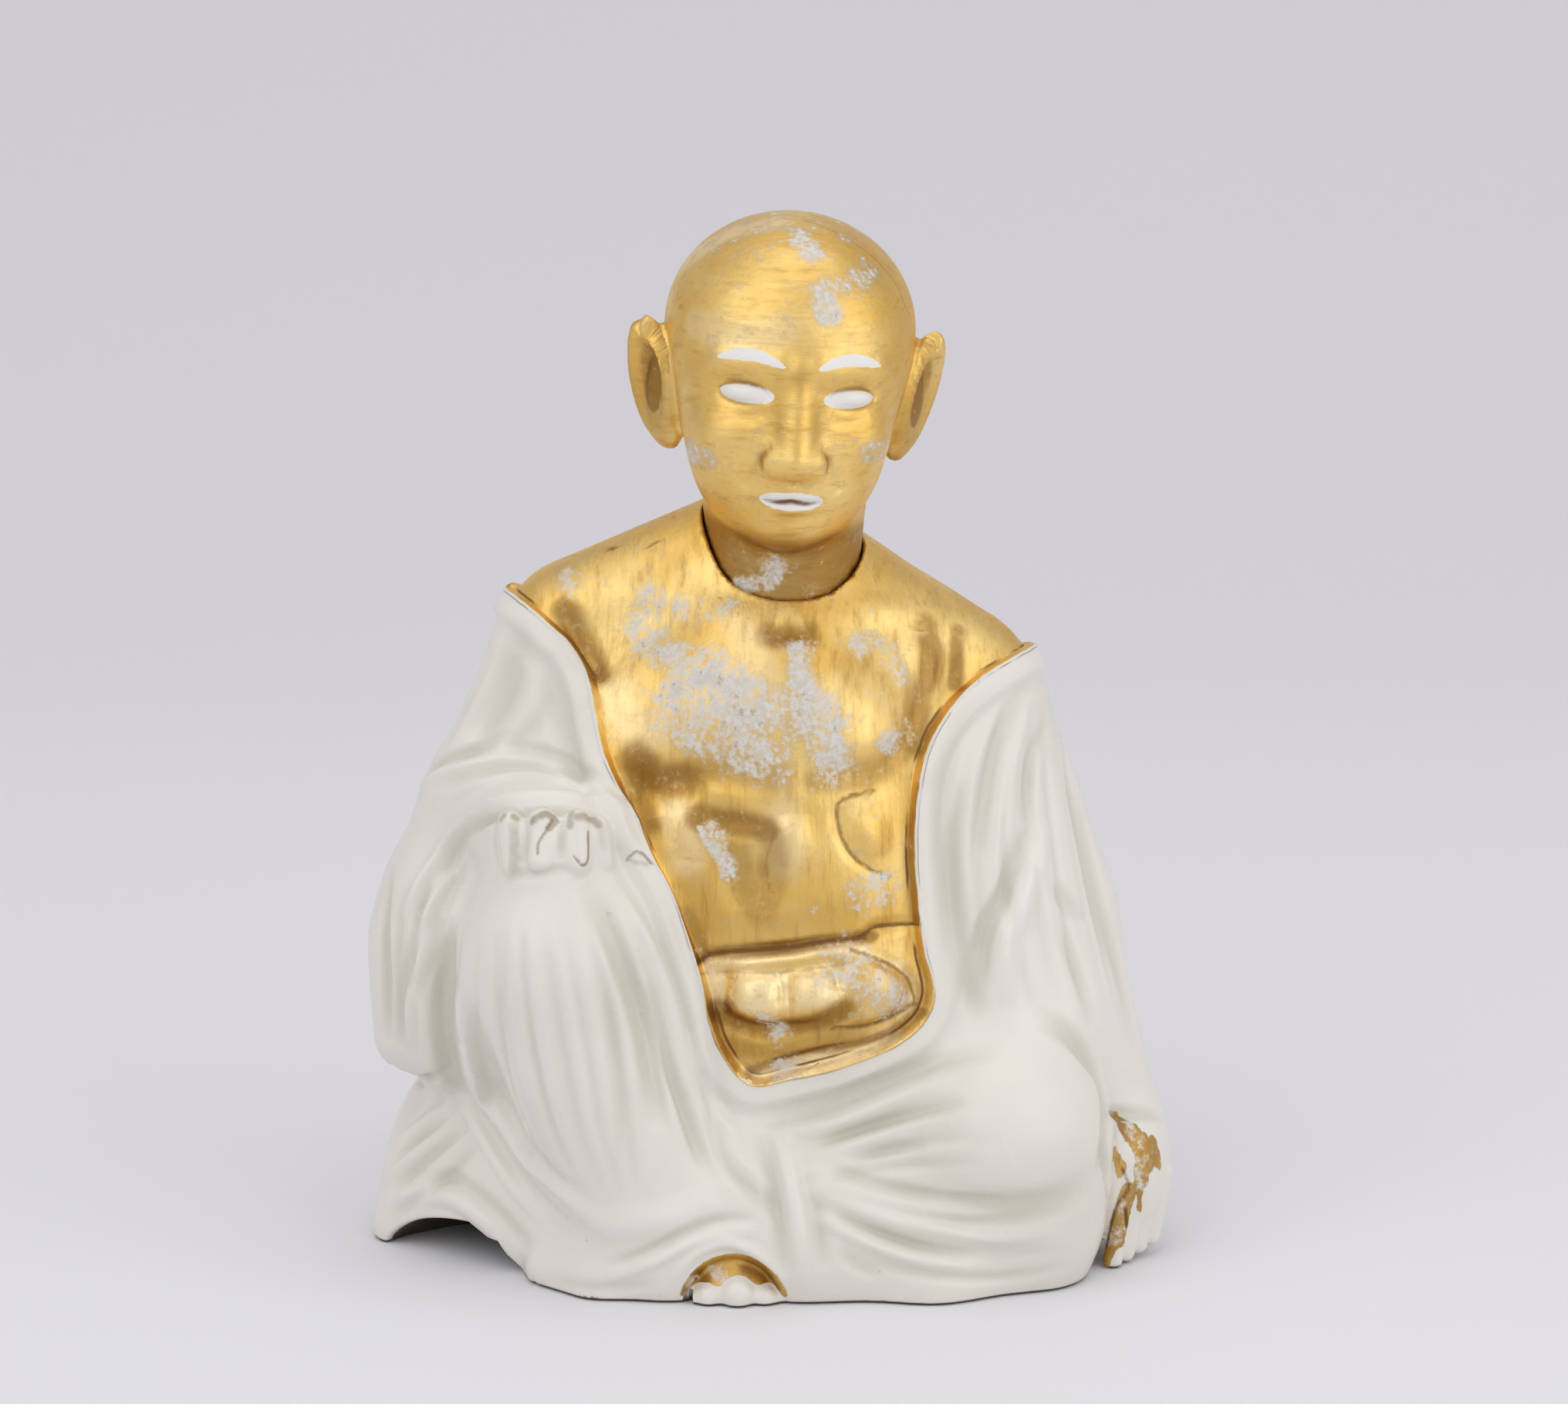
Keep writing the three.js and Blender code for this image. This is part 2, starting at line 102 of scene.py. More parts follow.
def limb(start, end, start_radius, end_radius):
    start = np.array(start, float)
    axis = np.array(end, float) - start

    def distance(places):
        offset = places - start
        t = np.clip(offset @ (axis / (axis @ axis)), 0, 1)
        offset -= t[:, None] * axis
        radius = start_radius + (end_radius - start_radius) * t
        return np.sqrt(np.einsum("ij,ij->i", offset, offset)) - radius

    return distance


def blend(width, *forms):
    """The forms pressed together, with a soft fillet between them."""

    def distance(places):
        d = forms[0](places)
        for form in forms[1:]:
            other = form(places)
            h = np.maximum(width - np.abs(d - other), 0) / width
            d = np.minimum(d, other) - h * h * width / 4
        return d

    return distance


def cut(width, form, *hollows):
    """The form with hollows taken out of it, and the new edges rounded."""
    left = blend(width, lambda places: -form(places), *hollows)
    return lambda places: -left(places)


SLOPE_STEP = 0.08


def slope_of(form, places):
    """Unit direction out of the form at each place."""
    here = form(places)
    ahead = [form(places + offset) - here for offset in SLOPE_STEP * np.eye(3)]
    slope = np.stack(ahead, axis=1)
    return slope / np.maximum(np.linalg.norm(slope, axis=1, keepdims=True), 1e-9)


def settle(form, places, rounds=3):
    """The places moved straight onto the form's surface."""
    out = slope_of(form, places)
    for _ in range(rounds):
        places = places - form(places)[:, None] * out
    return places, slope_of(form, places)


trunk = blend(
    4,
    egg([0.5, 1.5, 25], [32, 20, 41]),
    egg([0, -1, 51], [18.5, 13, 14]),
    limb([0.2, -2, 52], [2, -5.4, 28], 12.8, 13.4),
    egg([4, -9.6, 27.4], [10, 10.4, 5.4]),
    limb([-3, 1, 67], [-19.4, 0.6, 60], 6, 6),
    limb([4, 1, 64], [18.8, 0.6, 54.4], 6, 6.4),
    egg([0.8, 1.5, 61], [10, 9.5, 8.5]),
    limb([-15, -4.5, 51], [-15, -10.5, 37], 7, 8),
    limb([14.5, -4, 47], [22.5, -5.5, 23], 8, 10),
    egg([1.5, -10, 7], [17, 13.5, 12.5]),
    egg([0, 3.5, 13], [32, 18.5, 27]),
    egg([0, 1, 5], [34, 21.5, 17]),
)
legs = blend(
    3,
    limb([-9, -2, 15], [-19.3, -15, 32.6], 13, 9.4),
    limb([-19, -15, 31], [-10, -15.5, 4], 9.8, 8.6),
    limb([7, -5, 13], [21.4, -12.5, 13.3], 12, 11.2),
    limb([24, -13.5, 6], [3, -17, 4], 7.8, 7.2),
    limb([24, -14.8, 1.6], [15, -18.2, 1.4], 5.2, 5.2),
    limb([15, -18.2, 1.4], [5, -17.2, 1.4], 5.2, 4.6),
    limb([-20.6, -16.4, 1.4], [-16.4, -19.4, 1.2], 2.6, 3.2),
)
arms = blend(
    3,
    limb([-20.4, -1, 57.4], [-26.4, -3, 43.2], 6.2, 6.6),
    limb([-26.4, -4, 43.2], [-20.8, -17, 42.4], 6.4, 4.6),
    egg([-29.8, -3.5, 29], [8.2, 11, 14], [0, -3, 0]),
    limb([-33.4, -4, 30], [-34.8, -4, 20.6], 4.2, 3.2),
    egg([-25, 2, 4], [12.6, 12.5, 15]),
    limb([-33.4, -2, 8], [-35.8, -2.8, 1], 2.6, 2.6),
    limb([19.2, 0, 52], [25.8, 0, 31], 6.4, 6.4),
    limb([25.8, 0, 31], [32.2, -4.5, 11], 6.4, 5.6),
    egg([-19.8, -16.4, 44.8], [5.6, 4.4, 2.6], [12, 0, 0]),
    egg([34.2, -7.4, 8], [3.4, 4.6, 6], [0, -4, 0]),
)
robed_body = blend(3.5, trunk, legs, arms)

knee_fingers = [
    limb([-24.2, -18.6, 45.7], [-23.9, -20.1, 41.7], 1.3, 1.1),
    limb([-21.3, -20, 46.2], [-21.6, -21.4, 42.7], 1.3, 1.1),
    limb([-18.2, -19.8, 45.9], [-18, -20.9, 42.2], 1.3, 1.1),
    limb([-16.1, -18.9, 45.3], [-15.6, -19.2, 42], 1.0, 0.9),
    limb([-13.9, -17.1, 43.7], [-12, -16.9, 41.2], 1.1, 1.0),
]
table_fingers = [
    limb([33.7 + 1.2 * i, -11.2 + 1.2 * i, 8], [32.5 + 1.25 * i, -12.2 + 1.3 * i, 0.7 + 0.4 * i],
         1.1, 0.95)
    for i in range(4)
]
toe_recess = egg([-3.6, -24.6, -0.6], [5.0, 4.2, 5.4])
toes = blend(
    0.8,
    limb([-7.4, -19.4, 0.4], [-7.4, -22.6, 0.2], 1.3, 1.0),
    limb([-5.9, -19.6, 1.0], [-5.9, -23.1, 0.6], 1.6, 1.3),
    limb([-3.2, -19.8, 1.5], [-3.2, -23.3, 1.0], 2.0, 1.7),
    limb([-0.7, -19.8, 0.9], [-0.7, -23.1, 0.5], 1.6, 1.2),
    limb([0.5, -19.6, 0.4], [0.5, -22.6, 0.2], 1.2, 0.9),
)
foot = blend(0.4, egg([-3.5, -20.2, 0.4], [4.6, 3.9, 4.5]), toes)

NECK_AXIS = np.array([1.2, -1.6])
SEAT_FLOOR = 57
SEAT_TOP = 72
SEAT_FOOT_RADIUS = 11.55 * MILLIMETRE
SEAT_TOP_RADIUS = 14.15 * MILLIMETRE


def around_neck(places):
    return np.hypot(places[:, 0] - NECK_AXIS[0], places[:, 1] - NECK_AXIS[1])


def neck_seat(places):
    around = around_neck(places)
    rise = np.clip((places[:, 2] - SEAT_FLOOR) / (SEAT_TOP - SEAT_FLOOR), 0, 1)
    radius = SEAT_FOOT_RADIUS + (SEAT_TOP_RADIUS - SEAT_FOOT_RADIUS) * rise
    return np.maximum(around - radius, SEAT_FLOOR - places[:, 2])


def table(places):
    return places[:, 2]


ARCH_TURN = math.degrees(-0.86)
LIP_BACK = -13.1
LIP_FOOT = 2.8

hem_arch = egg([-27.8, -9.6, -1], [10.2, 14.4, 5.1], [0, 0, ARCH_TURN])
hem_roll = limb([-28.8, -11.4, 4.9], [-22.2, -15.8, 1.6], 0.9, 2.3)


def arch_opening(places):
    """The gap under the arched hem. In front of it a lip hangs over its right end."""
    behind_lip = np.minimum(places[:, 1] - LIP_BACK, LIP_FOOT - places[:, 2])
    return np.maximum(hem_arch(places), -np.maximum(hem_roll(places), behind_lip))


SIGHT_START = DISTANCE - 0.08
SIGHT_STEPS = 90
STEP_SHARE = 0.6
LEAST_STEP = 0.002
CLOSE_ENOUGH = 0.01


def seen(form, spots):
    """Where lines of sight through pixels of the picture meet the form, in shares."""
    u, v = np.array(spots, float).T
    across = (u - IMAGE_WIDTH / 2) / FOCAL_PIXELS
    down = (v - IMAGE_HEIGHT / 2) / FOCAL_PIXELS
    rays = FORWARD + across[:, None] * RIGHT - down[:, None] * UP
    rays /= np.linalg.norm(rays, axis=1, keepdims=True)
    places = to_shares(EYE + rays * SIGHT_START)
    best = places.copy()
    least = np.full(len(places), np.inf)
    for _ in range(SIGHT_STEPS):
        d = form(places)
        closer = d < least
        best[closer] = places[closer]
        least[closer] = d[closer]
        places = places + rays * np.maximum(STEP_SHARE * d, 0)[:, None] + rays * LEAST_STEP
        if np.abs(d).max() < CLOSE_ENOUGH:
            break
    return settle(form, best)[0]


def smooth_line(points, step, closed=False):
    """A Catmull-Rom line through the points, with a place about every step."""
    points = np.array(points, float)
    if closed:
        points = np.vstack([points[-1:], points, points[:2]])
    else:
        points = np.vstack([2 * points[0] - points[1], points, 2 * points[-1] - points[-2]])
    line = []
    for a, b, c, d in zip(points, points[1:], points[2:], points[3:]):
        count = max(2, int(np.linalg.norm(c - b) / step))
        t = np.linspace(0, 1, count, endpoint=False)[:, None]
        line.append(
            0.5 * (2 * b + (c - a) * t + (2 * a - 5 * b + 4 * c - d) * t**2
                   + (3 * b - a - 3 * c + d) * t**3)
        )
    if not closed:
        line.append(points[-2:-1])
    return np.vstack(line)


LINE_STEP_PIXELS = 4
LINE_GAP = 0.5
JUMP = 4.5


def filled(line):
    """A line with places added where it runs steeply away from the view."""
    places = [line[:1]]
    for a, b in zip(line, line[1:]):
        gap = np.linalg.norm(b - a)
        count = math.ceil(gap / LINE_GAP) if gap < JUMP else 1
        places.append(a + (b - a) * np.linspace(0, 1, count + 1)[1:, None])
    return np.vstack(places)


def seen_lines(form, drawn):
    """The lines on the form that strokes or marks are drawn along, from their spots in pixels."""
    lines = [smooth_line(spots, LINE_STEP_PIXELS) for *_, spots in drawn]
    ends = np.cumsum([len(line) for line in lines])[:-1]
    found = [filled(line) for line in np.split(seen(form, np.vstack(lines)), ends)]
    ends = np.cumsum([len(line) for line in found])[:-1]
    return np.split(settle(form, np.vstack(found))[0], ends)


# Carving of the body. A tool drawn along the clay presses a groove, raises a ridge, or lays a fold
# whose left side, as the line runs, stands over its right. Reach and height are in millimetres.

strokes = []


def groove(reach, depth, *spots):
    strokes.append(("even", reach, -depth, spots))


def ridge(reach, height, *spots):
    strokes.append(("even", reach, height, spots))


def fold(reach, height, *spots):
    strokes.append(("step", reach, height, spots))


def fan(count, reach, depth, first, last):
    """Shallow folds spread from a first line to a last one, none quite like its neighbour."""
    for i in range(count):
        share = (i + 0.3 * math.sin(2.1 * i)) / (count - 1)
        spots = [(x + (u - x) * share, y + (v - y) * share) for (x, y), (u, v) in zip(first, last)]
        groove(reach, depth * (1 + 0.45 * math.sin(2.6 * i)), *spots)


# Chest: under it, breastbone, pit of the neck, collarbones, armpits
groove(5.5, 1.1, (787, 985), (805, 1008), (843, 1019), (889, 1008), (945, 1003), (1001, 1011))
groove(5.5, 1.1, (1026, 1011), (1077, 1004), (1128, 1001), (1168, 977), (1185, 950))
groove(4.0, 0.5, (1020, 833), (1020, 894), (1018, 945), (1015, 1001))
groove(4.4, 0.8, (1001, 812), (1024, 818), (1046, 812))
ridge(4.0, 0.5, (985, 815), (925, 792), (853, 772), (772, 764))
ridge(4.0, 0.5, (1067, 810), (1118, 794), (1189, 794), (1250, 808))
groove(3.6, 1.2, (722, 774), (744, 805), (760, 843), (772, 884))
groove(3.0, 1.0, (1235, 818), (1229, 874), (1213, 925))
groove(4.0, 0.9, (1186, 845), (1196, 904), (1187, 955), (1164, 995))
# Ribs, and the hollows beside and below them
ridge(5.0, 1.2, (896, 1050), (899, 1082), (894, 1116))
groove(4.4, 1.3, (900, 1048), (945, 1062), (985, 1070), (1011, 1080))
groove(6.5, 0.9, (982, 1075), (984, 1130), (980, 1185))
groove(4.0, 1.0, (819, 991), (829, 1026), (837, 1062))
ridge(4.4, 1.1, (1024, 1056), (1026, 1090), (1020, 1124))
groove(1.8, 0.55, (1133, 1026), (1102, 1032), (1085, 1046), (1089, 1079), (1102, 1105),
       (1123, 1124), (1156, 1138))
ridge(5.4, 0.9, (1126, 1052), (1130, 1112))
# Lines down the belly and creases across it
groove(2.2, 0.4, (949, 1077), (945, 1113), (949, 1148), (957, 1173))
groove(2.2, 0.4, (1000, 1089), (992, 1123), (1001, 1163))
groove(2.0, 1.2, (905, 1246), (923, 1237), (975, 1232), (1026, 1228), (1067, 1221), (1128, 1215))
groove(1.7, 1.0, (1100, 1221), (1124, 1211), (1136, 1202), (1190, 1198))
ridge(2.4, 0.6, (915, 1250), (965, 1245), (1016, 1243), (1062, 1234), (1123, 1232))
groove(1.8, 0.6, (911, 1263), (945, 1260), (1001, 1261), (1046, 1257), (1100, 1250))
groove(2.0, 0.7, (1100, 1231), (1153, 1250), (1179, 1270), (1189, 1300))
# Roll of the belly: its lobes, its far side and what lies under it
ridge(7.0, 2.2, (940, 1284), (978, 1292), (1012, 1290))
ridge(7.0, 2.2, (1022, 1290), (1054, 1288), (1086, 1278))
groove(1.6, 0.35, (1016, 1266), (1018, 1288), (1014, 1306))
ridge(7.0, 1.5, (1092, 1262), (1136, 1280), (1164, 1306))
groove(3.4, 2.2, (929, 1304), (953, 1326), (980, 1335), (1006, 1338), (1041, 1334), (1092, 1312))
groove(2.2, 0.8, (1083, 1333), (1123, 1333), (1158, 1321), (1185, 1303))
groove(1.6, 0.5, (996, 1380), (1046, 1369), (1096, 1354))

# Sleeve on the raised side: beside the rim, at the elbow, hollow of the upper arm
groove(3.5, 0.7, (690, 850), (716, 905), (738, 975), (772, 1040))
fold(3.3, 1.3, (668, 958), (625, 978), (577, 992), (541, 1014))
fold(3.0, 1.1, (770, 1018), (711, 1004), (660, 1002), (610, 1012), (560, 1034))
fold(2.8, 0.9, (784, 1026), (742, 1001), (701, 983), (645, 977))
groove(6.2, 1.1, (679, 803), (662, 864), (640, 914), (610, 960))
# Cuff, and the folds that fall from it
groove(1.9, 1.3, (574, 1119), (594, 1090), (620, 1068), (650, 1056), (711, 1051), (772, 1055),
       (796, 1072))
ridge(2.3, 1.1, (565, 1105), (589, 1074), (616, 1053), (650, 1038), (711, 1032), (778, 1038),
      (808, 1062))
fold(3.1, 1.3, (525, 1199), (552, 1148), (577, 1113), (602, 1076))
fold(3.3, 1.5, (536, 1280), (554, 1214), (574, 1158), (594, 1108))
# Down the hanging sleeve to its hem
groove(2.7, 1.2, (506, 1118), (498, 1199), (500, 1270), (502, 1353))
groove(2.8, 1.2, (548, 1189), (532, 1240), (521, 1290), (519, 1360))
ridge(2.3, 1.1, (595, 1143), (571, 1199), (545, 1250), (526, 1310), (534, 1366))
groove(3.4, 2.6, (581, 1189), (576, 1250), (572, 1321), (580, 1382), (596, 1440))
groove(1.9, 1.3, (498, 1384), (520, 1394), (549, 1400), (585, 1390))

# Fine folds of the sleeve and of the upper arm
fan(5, 1.7, 0.6,
    [(508, 1126), (497, 1200), (496, 1280), (502, 1360)],
    [(572, 1140), (556, 1210), (546, 1290), (552, 1372)])
fan(4, 2.2, 0.35,
    [(640, 840), (612, 900), (580, 962), (552, 1010)],
    [(716, 900), (694, 940), (664, 966), (610, 990)])

# Raised leg: the crest of the shin's panel and the folds beside it
ridge(3.1, 1.7, (604, 1205), (602, 1280), (606, 1341), (622, 1405), (656, 1455), (689, 1505),
      (740, 1556), (790, 1592))
groove(2.7, 0.6, (634, 1392), (656, 1425), (681, 1475), (720, 1522), (770, 1560))
ridge(2.0, 1.0, (578, 1405), (606, 1440), (636, 1492), (672, 1546), (712, 1590))
groove(1.9, 0.5, (600, 1400), (632, 1446), (664, 1504), (704, 1552), (760, 1600))
# Folds at the side hem, and the lip over the arch
fold(2.8, 1.2, (506, 1500), (536, 1471), (575, 1438))
fold(3.0, 1.3, (502, 1538), (533, 1508), (569, 1479), (604, 1448))
fold(2.8, 1.2, (514, 1568), (554, 1534), (589, 1504), (622, 1470))
ridge(2.7, 1.1, (498, 1572), (520, 1556), (556, 1548), (597, 1558), (647, 1600), (681, 1648))
groove(2.5, 0.8, (520, 1534), (560, 1524), (604, 1536), (650, 1574), (694, 1624))
# Lines down the shin
groove(1.7, 0.3, (650, 1229), (651, 1300), (656, 1382))
groove(1.7, 0.3, (668, 1248), (668, 1310), (670, 1387))
groove(2.0, 0.4, (790, 1252), (794, 1342), (800, 1432))
groove(1.7, 0.3, (802, 1402), (798, 1483), (796, 1545))
# Valleys and folds beside the knee, down to the lap
groove(3.6, 1.8, (752, 1146), (780, 1189), (811, 1257), (835, 1333), (845, 1400), (853, 1469))
ridge(2.7, 1.2, (790, 1142), (830, 1205), (860, 1275), (880, 1350), (897, 1420))
groove(2.7, 1.3, (836, 1270), (863, 1365), (884, 1425), (904, 1484), (930, 1536))
ridge(2.3, 1.1, (894, 1330), (910, 1400), (926, 1450), (952, 1505), (1000, 1546))
groove(2.7, 1.2, (912, 1385), (925, 1450), (946, 1506), (985, 1556), (1010, 1575))
# Foot of the shin, and the hem over the foot and in front
ridge(4.2, 1.1, (757, 1592), (820, 1585), (880, 1574), (930, 1550))
fold(2.7, 1.3, (985, 1588), (930, 1590), (887, 1604), (841, 1629), (784, 1650))
ridge(1.6, 1.0, (872, 1666), (884, 1640), (908, 1620), (942, 1610), (978, 1622), (1004, 1646),
      (1020, 1672))
groove(1.9, 0.6, (703, 1654), (757, 1668), (813, 1668), (860, 1660))

# Fine folds of the shin, beside the knee and at the side hem
fan(9, 1.5, 0.5,
    [(622, 1190), (616, 1280), (624, 1370), (652, 1450), (704, 1540)],
    [(758, 1172), (786, 1270), (808, 1370), (820, 1470), (838, 1566)])
fan(5, 1.6, 0.6,
    [(776, 1160), (812, 1240), (840, 1330), (858, 1420), (876, 1516)],
    [(862, 1186), (892, 1266), (914, 1345), (936, 1424), (972, 1512)])
fan(5, 1.6, 0.6,
    [(580, 1415), (544, 1452), (508, 1490)],
    [(622, 1500), (578, 1530), (530, 1562)])

# Between the fingers, and under their tips
groove(1.4, 0.7, (641, 1066), (640, 1096), (645, 1128))
groove(1.3, 0.9, (684, 1064), (684, 1090), (682, 1124))
groove(1.3, 0.9, (729, 1064), (728, 1090), (726, 1118))
groove(1.4, 0.8, (776, 1066), (779, 1088), (784, 1108))
groove(1.6, 0.6, (650, 1136), (690, 1132), (730, 1126), (764, 1122))

# Lap: the ridge down it and its two sides
ridge(2.8, 1.5, (1006, 1455), (1020, 1515), (1032, 1580), (1040, 1672))
groove(2.5, 1.1, (986, 1470), (1000, 1534), (1010, 1595), (1018, 1652))
groove(2.3, 1.0, (1044, 1520), (1060, 1580), (1066, 1650))
# Folds fanned over the folded leg
groove(2.5, 1.0, (982, 1448), (1068, 1435), (1156, 1398), (1226, 1375), (1307, 1361))
ridge(2.7, 1.1, (1011, 1466), (1075, 1453), (1166, 1418), (1246, 1391))
groove(2.3, 1.0, (1035, 1502), (1100, 1470), (1184, 1438), (1250, 1424))
ridge(2.7, 0.9, (1045, 1512), (1110, 1487), (1190, 1466))
groove(2.2, 0.7, (1088, 1512), (1140, 1494), (1200, 1486))
# Under the knee, and the turn round it
fold(3.1, 1.3, (1305, 1568), (1204, 1559), (1123, 1540), (1055, 1514))
ridge(2.8, 1.3, (1043, 1532), (1113, 1568), (1184, 1590), (1280, 1606), (1401, 1606))
fold(2.8, 1.3, (1268, 1636), (1184, 1622), (1109, 1594), (1053, 1566))
groove(1.9, 0.7, (1086, 1620), (1110, 1640), (1150, 1656))
groove(4.7, 1.3, (1225, 1560), (1308, 1565), (1364, 1556), (1418, 1530))
groove(3.3, 1.5, (1338, 1313), (1392, 1350), (1428, 1406), (1434, 1470), (1420, 1534))

# Fine folds of the lap and under the knee
fan(7, 1.7, 0.6,
    [(984, 1436), (1066, 1422), (1150, 1388), (1236, 1352)],
    [(1034, 1536), (1106, 1520), (1186, 1510), (1276, 1508)])
fan(4, 1.7, 0.5,
    [(1076, 1540), (1180, 1570), (1292, 1584), (1400, 1570)],
    [(1080, 1616), (1180, 1648), (1290, 1656), (1390, 1640)])

# Sleeve on the dropped side: beside the rim, its folds, its crest and the outer arm
groove(3.0, 0.9, (1322, 866), (1264, 917), (1230, 976), (1216, 1046), (1220, 1152), (1228, 1246),
       (1248, 1322))
groove(2.7, 1.0, (1340, 880), (1300, 945), (1281, 1035), (1273, 1115))
ridge(2.7, 0.9, (1336, 920), (1310, 980), (1299, 1060), (1290, 1140))
groove(2.3, 0.8, (1357, 925), (1336, 994), (1329, 1072))
groove(3.1, 1.8, (1328, 1072), (1310, 1142), (1278, 1212), (1264, 1277), (1272, 1332))
ridge(3.4, 1.2, (1355, 1060), (1336, 1140), (1306, 1219), (1300, 1305))
groove(2.5, 1.0, (1248, 1010), (1238, 1090), (1242, 1164), (1252, 1240), (1250, 1310))
groove(3.1, 0.7, (1359, 1146), (1382, 1168), (1410, 1196))
groove(3.6, 1.0, (1380, 985), (1404, 1080), (1426, 1172), (1452, 1269), (1472, 1373))
groove(3.1, 0.8, (1372, 1200), (1398, 1262), (1420, 1330))
fan(9, 1.8, 0.5,
    [(1296, 905), (1256, 990), (1236, 1090), (1238, 1200), (1260, 1310)],
    [(1372, 905), (1388, 1000), (1410, 1110), (1436, 1230), (1466, 1350)])
# Above the wrist, and between hand and knee
groove(2.0, 1.0, (1432, 1440), (1463, 1444), (1494, 1446), (1512, 1452))
groove(2.0, 1.3, (1436, 1450), (1434, 1500), (1438, 1545))

# Back of the robe, which hangs in plain long folds
back_folds = [
    (4.6, -1.6, [[-16, 13, 56], [-21, 17, 34], [-24, 18, 6]]),
    (5.0, -1.4, [[-6, 17, 52], [-9, 21, 32], [-12, 22, 5]]),
    (5.0, 1.2, [[-11, 16, 54], [-15, 20, 33], [-18, 21, 5]]),
    (5.0, -1.5, [[5, 17, 50], [7, 21, 30], [8, 22, 5]]),
    (5.2, 1.2, [[0, 18, 50], [-1, 22, 31], [-2, 22, 5]]),
    (5.0, -1.5, [[14, 14, 50], [20, 17, 30], [25, 16, 6]]),
    (5.2, 1.2, [[10, 16, 50], [14, 20, 30], [17, 19, 5]]),
    (4.4, -1.2, [[26, 5, 46], [31, 6, 28], [34, 4, 8]]),
    (4.4, -1.2, [[-30, 6, 44], [-33, 8, 26], [-34, 6, 10]]),
]

# Body. One hollow casting of porcelain, open below, with the robe, hands and foot modelled in it.
# It is slip cast, glazed white and fired; chest and belly are then gilded and fired again.

ROUGH = 0.0011
FINE = 0.0005
BODY_TRIANGLES = 140000
SKIN_ROUNDS = 2
HOLLOW_ROUNDS = 14
FOOT_RIM_TOP = 0.5
SKIN_DEPTH = 1.5
RIM_HALVED = 0.9
RIM_MOVED = 1.2
FINEST_EDGE = 0.0003

EDGE_FRONT = [
    (660, 764), (711, 808), (737, 831), (757, 861), (770, 899), (778, 945), (786, 980),
    (800, 1016), (820, 1055), (843, 1109), (864, 1148), (884, 1199), (901, 1245), (913, 1282),
    (920, 1316), (935, 1356), (959, 1390), (983, 1402), (1026, 1392), (1097, 1374), (1158, 1349),
    (1193, 1319), (1205, 1282), (1195, 1234), (1187, 1168), (1183, 1097), (1187, 1026),
    (1199, 975), (1219, 933), (1260, 886), (1331, 841),
]
EDGE_BACK = [[24, 3, 57], [19, 8, 55], [0, 14, 53], [-18.5, 7, 59], [-23.6, 2, 62.2]]
EDGE_HUB = np.array([0, -5, 26])


def merged_copy(node, name):
    """A copy of a frame node's mesh, with its doubled corners merged."""
    work = bmesh.new()
    work.from_mesh(node.data)
    bmesh.ops.remove_doubles(work, verts=work.verts, dist=1e-6)
    mesh = bpy.data.meshes.new(name)
    work.to_mesh(mesh)
    work.free()
    piece = bpy.data.objects.new(name, mesh)
    bpy.context.scene.collection.objects.link(piece)
    return piece


def apply_modifiers(piece):
    bpy.context.view_layer.update()
    made = piece.evaluated_get(bpy.context.evaluated_depsgraph_get())
    mesh = bpy.data.meshes.new_from_object(made)
    piece.modifiers.clear()
    old = piece.data
    piece.data = mesh
    bpy.data.meshes.remove(old)


def remeshed(piece, size):
    remesh = piece.modifiers.new("remesh", "REMESH")
    remesh.mode = "VOXEL"
    remesh.voxel_size = size
    apply_modifiers(piece)


def thinned(piece, triangles):
    """Takes out corners where the surface is plain, down to a number of triangles."""
    now = sum(len(face.vertices) - 2 for face in piece.data.polygons)
    if now > triangles:
        decimate = piece.modifiers.new("thin", "DECIMATE")
        decimate.ratio = triangles / now
        decimate.use_collapse_triangulate = True
        apply_modifiers(piece)


def softened(piece, rounds, members=None):
    smooth = piece.modifiers.new("soften", "SMOOTH")
    smooth.factor = 0.5
    smooth.iterations = rounds
    if members is not None:
        group = piece.vertex_groups.new(name="softened")
        group.add(members.tolist(), 1.0, "REPLACE")
        smooth.vertex_group = group.name
    apply_modifiers(piece)
    piece.vertex_groups.clear()


def corners(piece):
    flat = np.empty(3 * len(piece.data.vertices), np.float32)
    piece.data.vertices.foreach_get("co", flat)
    return flat.reshape(-1, 3).astype(float)


def set_corners(piece, metres):
    piece.data.vertices.foreach_set("co", metres.astype(np.float32).ravel())
    piece.data.update()


def store(piece, name, values):
    field = piece.data.attributes.new(name, "FLOAT", "POINT")
    field.data.foreach_set("value", values.astype(np.float32))


def shade_smooth(piece):
    piece.data.polygons.foreach_set("use_smooth", [True] * len(piece.data.polygons))


CHUNK = 20000


def nearest_on(line, places, closed=False):
    """For each place, the distance to the line, the offset from it, its share along the line
    and the line's direction there."""
    ahead = np.roll(line, -1, 0) - np.roll(line, 1, 0)
    if not closed:
        ahead[0] = line[1] - line[0]
        ahead[-1] = line[-1] - line[-2]
    ahead /= np.maximum(np.linalg.norm(ahead, axis=1, keepdims=True), 1e-9)
    found = np.empty(len(places), int)
    for start in range(0, len(places), CHUNK):
        part = places[start:start + CHUNK]
        square = (line**2).sum(1)[None] - 2 * part @ line.T
        found[start:start + CHUNK] = square.argmin(1)
    direction = ahead[found]
    offset = places - line[found]
    slide = (offset * direction).sum(1)
    gap = np.linalg.norm(line[1] - line[0])
    slide_kept = np.clip(slide, -gap, gap)
    offset = offset - slide_kept[:, None] * direction
    return np.linalg.norm(offset, axis=1), offset, found / (len(line) - 1), direction


def close_to(line, places, reach):
    near = (places > line.min(0) - reach).all(1) & (places < line.max(0) + reach).all(1)
    return np.flatnonzero(near)


